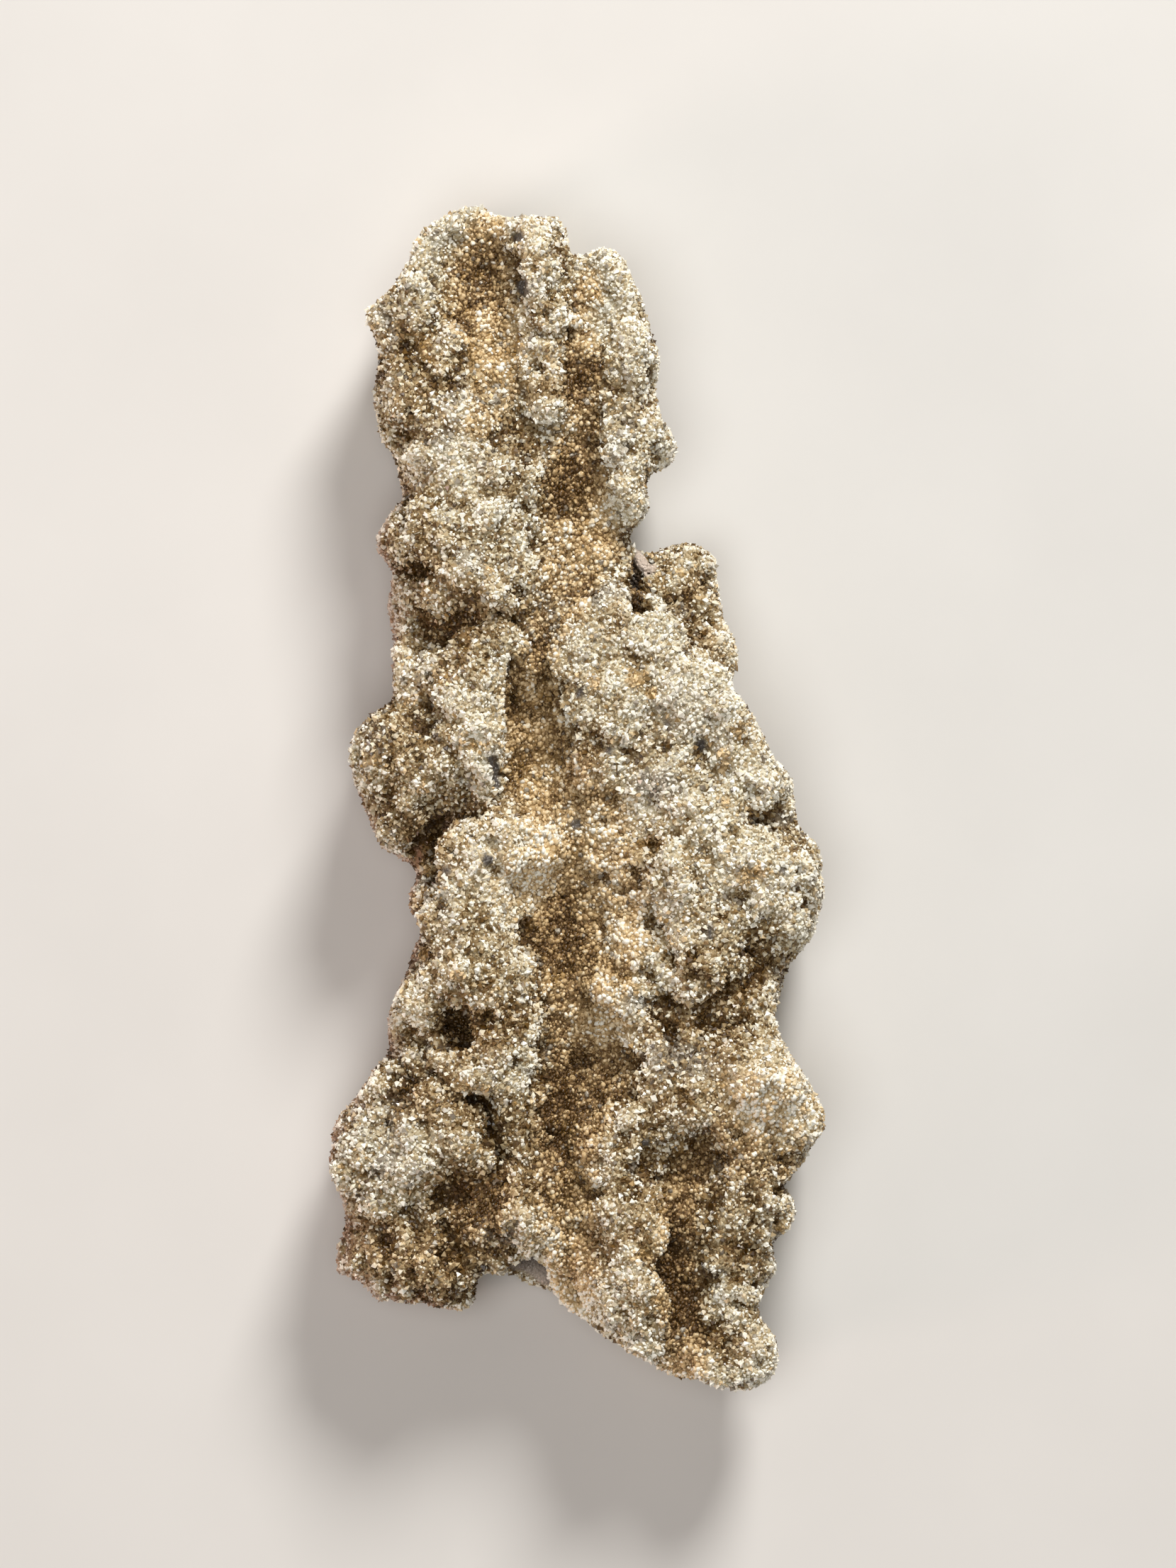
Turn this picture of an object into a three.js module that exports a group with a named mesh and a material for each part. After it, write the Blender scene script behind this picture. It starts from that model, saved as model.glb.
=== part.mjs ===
// A fulgurite: a flattened tube of quartz sand that one lightning strike melted together.
//
// It is one closed solid, in millimetres, lying on its back: +Y runs along the tube, +Z is up, and the origin
// lies under the middle of its outline, on the surface that it rests on. The crust is an implicit form: a pillow
// inside the outline, a stub of a side wing, lumps melted onto both, furrows and pits sunk into them, and the
// bore that the strike left, open at both broken ends. A surface net turns that form into one mesh.
import * as THREE from "three";
import { ImprovedNoise } from "three/addons/math/ImprovedNoise.js";

// ---- Driving dimensions, in millimetres -------------------------------------------------------------------

const MESH_STEP = 1.0; // spacing of the surface net
const WAIST_Z = 4.3; // height of the widest section
const BACK_RISE = 3.4; // from the waist up to the plain upper face
const BELLY_DROP = 3.8; // from the waist down to the plain underside
const BACK_ROUNDING = 2.6; // how far in from a flank the crust reaches its full height above the waist
const BELLY_ROUNDING = 4.4; // and its full depth below it
const SQUARENESS = 2.2; // of a flank's section: 2 is an ellipse, and more is boxier
const BREAK_ROUNDING = 0.7; // worn edge of the two broken ends
const MELT = 0.8; // how widely neighbouring lumps run into each other
const WING_WAIST_Z = 3.4; // the side wing lies lower than the tube
const WING_RISE = 1.9;
const WING_DROP = 2.7;
const WING_BACK_ROUNDING = 1.7;
const WING_BELLY_ROUNDING = 2.4;
const GRIT = 0.35; // height of the unevenness that no lump accounts for
const GRIT_SIZE = 2.6; // and the size of its bumps

// ---- The outline, seen from above: [x, y] -----------------------------------------------------------------

const LEFT_FLANK = [
  [-9.6, -23.6], [-9.9, -22.9], [-11.2, -21.8], [-10.5, -20.9], [-10.9, -18.8], [-11.5, -17.3], [-11.2, -15.4],
  [-10.0, -13.7], [-8.8, -12.0], [-8.8, -10.3], [-8.2, -8.6], [-7.2, -7.2], [-7.5, -5.3], [-7.6, -3.2],
  [-9.2, -2.3], [-9.8, -0.5], [-10.5, 1.9], [-9.9, 3.6], [-8.6, 4.6], [-8.5, 6.6], [-8.7, 9.0], [-8.7, 11.2],
  [-9.0, 12.0], [-8.0, 13.8], [-8.0, 15.2], [-9.1, 16.9], [-9.3, 18.7], [-9.0, 20.8], [-9.8, 22.6],
  [-8.3, 24.1], [-7.7, 26.0],
];
const UPPER_BREAK = [
  [-6.4, 27.1], [-4.4, 27.7], [-3.2, 27.0], [-1.8, 27.1], [-0.6, 26.5], [-0.3, 25.3], [1.1, 25.8],
];
const RIGHT_FLANK = [
  [2.3, 25.0], [2.9, 22.9], [3.7, 20.8], [3.6, 18.2], [4.5, 16.6], [3.2, 15.4], [3.2, 13.6], [2.5, 11.8],
  [2.5, 9.4], [4.1, 8.2], [5.4, 6.3], [7.2, 4.9], [8.3, 3.3], [9.3, 1.6], [10.0, 0.2], [10.3, -1.5],
  [11.1, -3.0], [11.5, -4.4], [10.9, -6.4], [9.8, -7.9], [9.6, -9.4], [9.4, -11.0], [10.2, -12.7],
  [11.3, -14.9], [11.0, -16.1], [10.1, -17.6], [9.5, -18.4], [9.9, -19.7], [9.1, -21.0], [9.1, -22.5],
  [8.3, -23.9], [8.6, -25.5], [9.0, -26.8],
];
const LOWER_BREAK = [
  [8.1, -27.7], [6.4, -27.2], [5.2, -27.6], [3.4, -26.6], [1.2, -25.5], [-0.3, -24.2], [-2.6, -22.7],
  [-4.8, -22.5], [-5.1, -24.0], [-7.6, -23.9],
];
const WING_OUTLINE = [
  [2.4, 12.0], [3.6, 11.2], [5.1, 11.9], [6.3, 11.2], [6.6, 9.6], [6.6, 8.4], [7.5, 6.6], [7.2, 5.2],
  [7.4, 3.0], [3.4, 3.6], [1.2, 8.0],
];

// ---- Broad swells and sags of the upper face: [x, y, reach, height] -----------------------------------------

const SWELLS = [
  [-5.5, 12.5, 4.0, 0.5], [-4.5, 25.5, 4.0, -0.3], [1.5, 22.0, 3.5, -0.4], [4.0, 3.5, 4.0, 0.6],
  [9.5, -4.0, 3.0, -0.3], [-5.0, -6.0, 3.5, 0.3], [-9.5, -18.5, 3.5, -0.6], [-7.0, -23.0, 3.0, -0.7],
  [8.5, -13.5, 3.0, 0.3], [7.5, -22.5, 4.5, -1.0], [2.2, -21.0, 3.0, 0.2], [-8.5, 8.0, 2.5, -0.5],
  [2.5, 13.5, 2.5, -0.3],
];

// ---- Lumps melted onto the crust: [x, y, radius, rise of the top above the plain crust] --------------------

// The ridge left of the long furrow, from the upper end down.
const LEFT_RIDGE = [
  [-4.9, 26.6, 1.5, 0.9], [-6.7, 25.3, 1.6, 0.6], [-7.4, 23.4, 1.5, 1.0], [-6.9, 21.1, 1.6, 0.9],
  [-7.7, 18.9, 1.4, 0.7], [-5.6, 17.5, 1.7, 1.1], [-6.0, 15.5, 1.6, 0.9], [-4.1, 15.8, 1.1, 1.3],
  [-6.6, 12.7, 1.6, 1.5], [-4.2, 13.0, 1.5, 1.4], [-5.3, 10.9, 1.7, 1.8], [-3.1, 10.4, 1.5, 1.6],
  [-4.6, 7.0, 1.3, 1.3], [-3.2, 6.9, 1.1, 1.4], [-7.3, 5.8, 1.4, 0.9], [-5.0, 4.6, 1.5, 1.7],
  [-4.7, 2.4, 1.4, 1.9], [-6.6, 1.4, 1.5, 1.3], [-8.7, 2.1, 1.9, 1.2], [-8.3, -0.9, 1.5, 0.5],
  [-3.0, -2.0, 1.6, 0.9], [-4.9, -3.4, 1.6, 1.2], [-5.6, -6.1, 1.5, 1.4], [-3.7, -6.0, 1.4, 0.9],
  [-5.2, -8.3, 1.6, 1.7], [-3.2, -8.6, 1.4, 1.1], [-7.6, -9.8, 1.4, 0.5], [-3.1, -12.1, 1.7, 1.5],
  [-5.9, -12.7, 1.2, 1.1], [-8.9, -14.2, 1.5, 0.8], [-7.6, -16.0, 1.9, 1.2], [-5.4, -15.9, 1.4, 1.2],
  [-9.6, -17.6, 1.8, 0.8], [-6.4, -17.0, 1.5, 0.9], [-2.5, -16.0, 1.3, 0.7], [-8.4, -20.8, 1.7, 0.5],
  [-6.6, -22.3, 1.5, 0.4], [-2.2, -19.6, 1.6, 1.3],
];
// The ridge right of it.
const RIGHT_RIDGE = [
  [-2.4, 26.2, 1.2, 1.0], [-1.7, 24.3, 1.3, 1.3], [-1.3, 22.2, 1.3, 1.1], [-2.2, 19.6, 1.4, 1.1],
  [-0.8, 18.2, 1.2, 1.0], [1.4, 25.0, 1.3, 0.9], [2.0, 23.2, 1.4, 1.1], [2.6, 21.2, 1.4, 1.2],
  [1.8, 18.6, 1.3, 0.7], [1.9, 16.4, 1.4, 0.8], [3.6, 16.4, 1.1, 0.6], [2.1, 14.0, 1.4, 1.1],
  [-1.9, 14.8, 1.3, 0.9], [-0.2, 7.2, 1.5, 1.2], [2.0, 7.6, 1.6, 1.4], [0.4, 5.1, 1.5, 1.5],
  [3.4, 6.9, 1.4, 1.5], [2.4, 4.6, 1.5, 1.3], [4.9, 4.7, 1.7, 1.7], [6.4, 3.5, 1.5, 1.4],
  [1.4, 2.5, 1.3, 0.9], [4.3, 1.3, 1.7, 1.1], [7.8, 2.1, 1.5, 1.2], [8.3, 0.2, 1.5, 0.9],
  [5.7, -1.6, 1.8, 1.3], [8.2, -3.1, 1.9, 1.6], [10.0, -3.7, 1.5, 0.7], [4.7, -4.5, 1.5, 1.2],
  [6.4, -5.5, 1.7, 1.2], [9.0, -5.6, 1.5, 0.8], [3.3, -8.4, 1.3, 0.7], [6.3, -8.2, 1.4, 0.6],
  [8.2, -11.4, 1.5, 1.0], [6.2, -12.4, 1.5, 0.8], [8.6, -13.6, 1.9, 1.5], [10.1, -15.2, 1.4, 0.7],
  [3.7, -12.9, 1.4, 0.7], [5.4, -15.2, 1.5, 1.5], [3.2, -15.9, 1.3, 1.0], [8.4, -16.4, 1.5, 0.6],
  [1.5, -17.4, 1.4, 0.8], [2.6, -19.9, 1.6, 1.2], [7.6, -18.9, 1.5, 0.9], [9.2, -19.6, 1.0, 0.7],
  [2.2, -22.8, 1.7, 1.3], [7.2, -21.3, 1.5, 0.8], [7.4, -23.4, 1.4, 0.9], [7.8, -25.6, 1.4, 1.0],
  [3.3, -25.1, 1.4, 0.8], [8.2, -27.0, 1.0, 0.7],
];
// Knobs that stand out sideways and shape the outline.
const FLANK_KNOBS = [
  [-9.2, 22.7, 0.9, 0.5], [-8.6, 12.2, 1.0, -0.4], [4.2, 16.3, 0.8, 0.6], [9.5, -0.7, 1.0, -0.3],
  [-10.6, -21.7, 0.9, -0.2], [8.9, -22.3, 0.8, 0.2], [-7.3, -5.1, 0.8, -0.6], [10.8, -15.6, 0.8, 0.2],
  [3.4, 7.6, 1.0, 1.2], [4.7, 6.2, 1.0, 1.1], [6.0, 5.2, 0.9, 1.0],
];
const WING_LUMPS = [
  [5.2, 10.8, 1.3, 0.5], [5.5, 8.6, 1.3, 0.4], [6.5, 6.8, 1.2, 0.3], [3.9, 9.8, 0.9, 0.2],
];

// ---- Furrows along the crust: points [x, y, half width, depth below the plain crust] -----------------------

const FURROWS = [
  // the long furrow, over the bore
  [[0.3, 17.4, 1.0, 0.8], [-0.1, 14.6, 1.4, 1.6], [0.0, 12.0, 1.7, 1.2], [-0.6, 9.8, 1.5, 1.0],
   [-1.7, 7.4, 0.8, 1.1], [-2.2, 5.0, 1.4, 2.0], [-2.0, 1.8, 1.7, 1.8], [-1.0, -1.4, 1.8, 0.8],
   [-0.5, -5.2, 1.9, 1.5], [0.2, -9.0, 1.8, 0.9], [0.5, -12.7, 1.9, 1.7], [-0.4, -15.8, 1.5, 1.2],
   [-0.5, -19.6, 1.2, 0.8], [-0.2, -23.4, 1.1, 0.5]],
  // a short one beside it at the upper end
  [[-4.3, 26.9, 1.2, 0.8], [-4.7, 24.9, 1.5, 1.6], [-4.3, 22.2, 1.4, 0.9], [-3.6, 19.8, 1.0, 0.3]],
  // its neighbour towards the right flank
  [[0.5, 24.5, 0.8, 0.8], [0.2, 20.8, 1.0, 0.7], [0.3, 17.6, 1.1, 1.0]],
  // the deep one that runs out at the lower right
  [[5.5, -17.4, 1.0, 0.8], [4.7, -19.4, 1.1, 0.5], [4.5, -22.0, 1.3, 0.9], [5.2, -26.6, 1.4, 0.7]],
  // and an arc under the row of lumps at the lower left
  [[-9.0, -14.9, 0.8, 0.3], [-7.4, -14.2, 0.8, 0.7], [-5.8, -14.2, 0.8, 0.7], [-4.3, -14.6, 0.9, 1.3],
   [-3.8, -16.4, 0.9, 1.0]],
];

// ---- Pits: [x, y, radius, depth below the plain crust] -----------------------------------------------------

const PITS = [
  [-7.4, 10.9, 1.0, 1.2], [-6.2, 8.3, 1.2, 1.5], [-4.6, 8.6, 1.0, 1.2], [-7.0, -2.0, 1.2, 2.6],
  [-6.0, -0.6, 1.0, 1.0], [-5.4, -10.8, 1.2, 1.7], [-4.2, -18.9, 1.3, 1.7], [-6.0, -18.9, 1.6, 1.0],
  [-5.2, -21.6, 1.5, 0.8], [-2.7, 17.5, 0.9, 0.8], [-6.6, 19.6, 0.8, 0.4], [4.8, -8.8, 1.2, 1.0],
  [8.3, -7.8, 1.4, 1.2], [6.7, -10.2, 1.1, 0.8], [6.0, -16.8, 1.2, 1.0], [3.4, -17.4, 0.9, 0.7],
  [9.1, -1.0, 0.9, 0.8], [-9.4, -20.2, 1.0, 0.3],
];

// ---- The gap between the tube's upper wall and the side wing, open to the bore: points [x, y, z, radius] ---

const BREACH = [
  [3.2, 12.4, 5.2, 0.7], [2.9, 11.2, 4.0, 0.8], [2.8, 9.8, 3.7, 0.85], [3.2, 8.6, 4.8, 0.7],
];

// ---- Where the tube's upper wall has broken back from its lower wall, at the lower end: [x, y, z, radius] ---

const LIP = [
  [-4.3, -24.2, 6.6, 1.7], [-3.0, -23.7, 6.4, 2.0], [-1.6, -24.1, 6.4, 1.9], [0.4, -26.2, 6.4, 1.7],
  [2.6, -28.0, 6.4, 1.8], [4.4, -28.6, 6.4, 1.6],
];

// ---- The underside: feet that carry it, and lumps between them: [x, y, radius, drop below the plain crust] --

const FEET = [
  [-7.0, -17.5, 2.4, 1.2], [5.6, -19.5, 2.4, 1.2], [-5.0, 20.4, 2.3, 1.2], [0.4, 19.4, 1.9, 1.1],
  [6.2, -2.8, 2.3, 1.1], [-4.8, 3.4, 2.1, 1.0],
];
const FLANK_LUMPS = { count: 46, leastRadius: 1.0, mostRadius: 1.7, lowest: 3.0, highest: 6.0 };
const BELLY_LUMPS = { count: 64, leastRadius: 1.1, mostRadius: 1.8, leastDrop: 0.1, mostDrop: 0.65 };
const BELLY_FURROW = [
  [-2.6, 25.8, 1.6, 0.4], [-1.6, 16.0, 1.9, 0.6], [-0.6, 6.0, 2.0, 0.7], [1.0, -6.0, 2.2, 0.7],
  [0.2, -16.0, 2.0, 0.7], [1.6, -25.0, 1.8, 0.5],
];

// ---- The bore: points [x, y, z, half width, half height] ---------------------------------------------------

const BORE = [
  [-3.2, 29.5, 3.9, 2.5, 1.3], [-2.6, 24.0, 3.8, 2.3, 1.2], [-1.6, 18.0, 3.7, 2.1, 1.1],
  [0.3, 11.5, 3.6, 2.5, 1.1], [0.4, 8.5, 3.6, 2.5, 1.1], [-0.3, 1.0, 3.6, 2.3, 1.1],
  [0.8, -8.0, 3.6, 2.5, 1.1], [0.5, -17.0, 3.7, 3.0, 1.2], [-0.2, -23.0, 3.8, 3.5, 1.35],
  [-1.4, -29.5, 3.9, 4.0, 1.5],
];

// ---- The implicit form: negative inside, in millimetres ----------------------------------------------------

const grit = new ImprovedNoise();

function closedCurve(points) {
  const path = points.map(([x, y]) => new THREE.Vector3(x, y, 0));
  return new THREE.CatmullRomCurve3(path, true, "centripetal").getPoints(points.length * 5);
}

function openCurve(points) {
  const path = points.map(([x, y]) => new THREE.Vector3(x, y, 0));
  return new THREE.CatmullRomCurve3(path, false, "centripetal").getPoints(points.length * 4);
}

// Distance from a point to a line of points, and whether a ray to +X crosses it an odd number of times.
function toPath(path, x, y) {
  let nearest = Infinity;
  let inside = false;
  for (let i = 1; i < path.length; i++) {
    const a = path[i - 1];
    const b = path[i];
    const [dx, dy] = [b.x - a.x, b.y - a.y];
    const share = ((x - a.x) * dx + (y - a.y) * dy) / (dx * dx + dy * dy || 1);
    const t = THREE.MathUtils.clamp(share, 0, 1);
    nearest = Math.min(nearest, Math.hypot(x - a.x - dx * t, y - a.y - dy * t));
    if (a.y > y !== b.y > y && x < a.x + (dx * (y - a.y)) / dy) inside = !inside;
  }
  return { nearest, inside };
}

const tubeOutline = closedCurve([...LEFT_FLANK, ...UPPER_BREAK, ...RIGHT_FLANK, ...LOWER_BREAK]);
const flanks = [openCurve(LEFT_FLANK), openCurve(RIGHT_FLANK)];
const wingOutline = closedCurve(WING_OUTLINE);

// How far a point lies inside an outline, negative outside it.
function depthIn(outline, x, y) {
  const { nearest, inside } = toPath(outline, x, y);
  return inside ? nearest : -nearest;
}

function flankDepth(x, y) {
  const outer = depthIn(tubeOutline, x, y);
  return outer < 0 ? outer : Math.min(...flanks.map((flank) => toPath(flank, x, y).nearest));
}

// Share of its full height or depth that a pillow has this far inside its outline.
function fullness(depth, rounding) {
  const across = THREE.MathUtils.clamp(1 - depth / rounding, 0, 1);
  return (1 - across ** SQUARENESS) ** (1 / SQUARENESS);
}

// One half of a pillow, above or below its waist, which flattens towards its middle.
function pillow(depth, rounding, height, thickness) {
  const across = Math.max(rounding - depth, 0) / rounding;
  const reach = (across ** SQUARENESS + (height / thickness) ** SQUARENESS) ** (1 / SQUARENESS);
  return (reach - 1) * Math.min(rounding, thickness);
}

const join = (a, b, width) => {
  const near = Math.max(width - Math.abs(a - b), 0) / width;
  return Math.min(a, b) - (near * near * width) / 4;
};
const cut = (a, b, width) => -join(-a, b, width);

function backRise(x, y) {
  let rise = BACK_RISE;
  for (const [cx, cy, reach, height] of SWELLS) {
    rise += height * Math.exp(-((x - cx) ** 2 + (y - cy) ** 2) / reach ** 2);
  }
  return rise;
}

// Height of the plain upper face of the tube, and of its plain underside.
const backZ = (x, y) => WAIST_Z + backRise(x, y) * fullness(flankDepth(x, y), BACK_ROUNDING);
const bellyZ = (x, y) => WAIST_Z - BELLY_DROP * fullness(flankDepth(x, y), BELLY_ROUNDING);
const wingZ = (x, y) =>
  WING_WAIST_Z + WING_RISE * fullness(depthIn(wingOutline, x, y), WING_BACK_ROUNDING);

const raised = (faceZ) => ([x, y, radius, rise]) => ({ x, y, z: faceZ(x, y) + rise - radius, radius });
const lowered = (faceZ) => ([x, y, radius, drop]) => ({ x, y, z: faceZ(x, y) - drop + radius, radius });
const sunk = (faceZ) => ([x, y, radius, depth]) => ({ x, y, z: faceZ(x, y) - depth + radius, radius });

// Lumps on the underside, laid out by the golden angle so that none repeats its neighbour.
function bellyLumps({ count, leastRadius, mostRadius, leastDrop, mostDrop }) {
  const [low, high] = [new THREE.Vector2(-11, -27), new THREE.Vector2(11, 27)];
  const golden = (Math.sqrt(5) - 1) / 2;
  const lumps = [];
  for (let i = 0; i < count * 2; i++) {
    const x = THREE.MathUtils.lerp(low.x, high.x, (i * golden) % 1);
    const y = THREE.MathUtils.lerp(low.y, high.y, (i + 0.5) / (count * 2));
    const pick = (i * 7 * golden) % 1;
    const radius = THREE.MathUtils.lerp(leastRadius, mostRadius, pick);
    const drop = THREE.MathUtils.lerp(leastDrop, mostDrop, (i * 3 * golden) % 1);
    if (depthIn(tubeOutline, x, y) > radius * 0.6) lumps.push([x, y, radius, drop]);
  }
  return lumps;
}

// Lumps up and down the two flanks, which swell them as far as the outline and no further.
function flankLumps({ count, leastRadius, mostRadius, lowest, highest }) {
  const golden = (Math.sqrt(5) - 1) / 2;
  const lumps = [];
  for (const flank of flanks) {
    for (let i = 0; i < count / 2; i++) {
      const at = Math.floor(((i + 0.5) / (count / 2)) * (flank.length - 1));
      const along = new THREE.Vector3().subVectors(flank[at + 1], flank[at]).normalize();
      const inward = new THREE.Vector3(along.y, -along.x, 0); // both flanks run clockwise
      const radius = THREE.MathUtils.lerp(leastRadius, mostRadius, (i * 5 * golden) % 1);
      const z = THREE.MathUtils.lerp(lowest, highest, (i * golden) % 1);
      const centre = flank[at].clone().addScaledVector(inward, radius * 0.9);
      lumps.push({ x: centre.x, y: centre.y, z, radius });
    }
  }
  return lumps;
}

const lumps = [
  ...[...LEFT_RIDGE, ...RIGHT_RIDGE, ...FLANK_KNOBS].map(raised(backZ)),
  ...WING_LUMPS.map(raised(wingZ)),
  ...[...FEET, ...bellyLumps(BELLY_LUMPS)].map(lowered(bellyZ)),
  ...flankLumps(FLANK_LUMPS),
];
const pits = PITS.map(sunk(backZ));
const furrows = [
  ...FURROWS.map((line) => line.map(sunk(backZ))),
  BELLY_FURROW.map(([x, y, radius, depth]) => ({ x, y, z: bellyZ(x, y) + depth - radius, radius })),
  ...[BREACH, LIP].map((line) => line.map(([x, y, z, radius]) => ({ x, y, z, radius }))),
];

// Distance to a chain of round-ended rods between points that each have their own radius.
function toChain(chain, x, y, z) {
  let nearest = Infinity;
  for (let i = 1; i < chain.length; i++) {
    const [a, b] = [chain[i - 1], chain[i]];
    const [dx, dy, dz] = [b.x - a.x, b.y - a.y, b.z - a.z];
    const along = ((x - a.x) * dx + (y - a.y) * dy + (z - a.z) * dz) / (dx * dx + dy * dy + dz * dz);
    const t = THREE.MathUtils.clamp(along, 0, 1);
    const radius = THREE.MathUtils.lerp(a.radius, b.radius, t);
    nearest = Math.min(nearest, Math.hypot(x - a.x - dx * t, y - a.y - dy * t, z - a.z - dz * t) - radius);
  }
  return nearest;
}

// The bore is wider than it is high, and its width lies level.
function toBore(x, y, z) {
  let nearest = Infinity;
  for (let i = 1; i < BORE.length; i++) {
    const [ax, ay, az, aWidth, aHeight] = BORE[i - 1];
    const [bx, by, bz, bWidth, bHeight] = BORE[i];
    const [dx, dy] = [bx - ax, by - ay];
    const t = THREE.MathUtils.clamp(((x - ax) * dx + (y - ay) * dy) / (dx * dx + dy * dy), 0, 1);
    const across = Math.hypot(x - ax - dx * t, y - ay - dy * t) / THREE.MathUtils.lerp(aWidth, bWidth, t);
    const height = THREE.MathUtils.lerp(aHeight, bHeight, t);
    const up = (z - THREE.MathUtils.lerp(az, bz, t)) / height;
    nearest = Math.min(nearest, (Math.hypot(across, up) - 1) * height);
  }
  return nearest;
}

function fulgurite(x, y, z) {
  const flank = flankDepth(x, y);
  const round = z > WAIST_Z
    ? pillow(flank, BACK_ROUNDING, z - WAIST_Z, backRise(x, y))
    : pillow(flank, BELLY_ROUNDING, WAIST_Z - z, BELLY_DROP);
  const tube = cut(round, depthIn(tubeOutline, x, y), BREAK_ROUNDING);
  const edge = depthIn(wingOutline, x, y);
  const wing = z > WING_WAIST_Z
    ? pillow(edge, WING_BACK_ROUNDING, z - WING_WAIST_Z, WING_RISE)
    : pillow(edge, WING_BELLY_ROUNDING, WING_WAIST_Z - z, WING_DROP);
  let form = join(tube, wing, MELT);
  for (const lump of lumps) {
    const distance = Math.hypot(x - lump.x, y - lump.y, z - lump.z) - lump.radius;
    if (distance < form + MELT) form = join(form, distance, MELT);
  }
  for (const furrow of furrows) form = cut(form, toChain(furrow, x, y, z), MELT);
  for (const pit of pits) {
    form = cut(form, Math.hypot(x - pit.x, y - pit.y, z - pit.z) - pit.radius, MELT / 2);
  }
  form += GRIT * grit.noise(x / GRIT_SIZE, y / GRIT_SIZE, z / GRIT_SIZE);
  return cut(form, toBore(x, y, z), MELT / 4);
}

// ---- A surface net: one vertex in each cell that the surface crosses, one quad round each crossed edge ------

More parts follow.
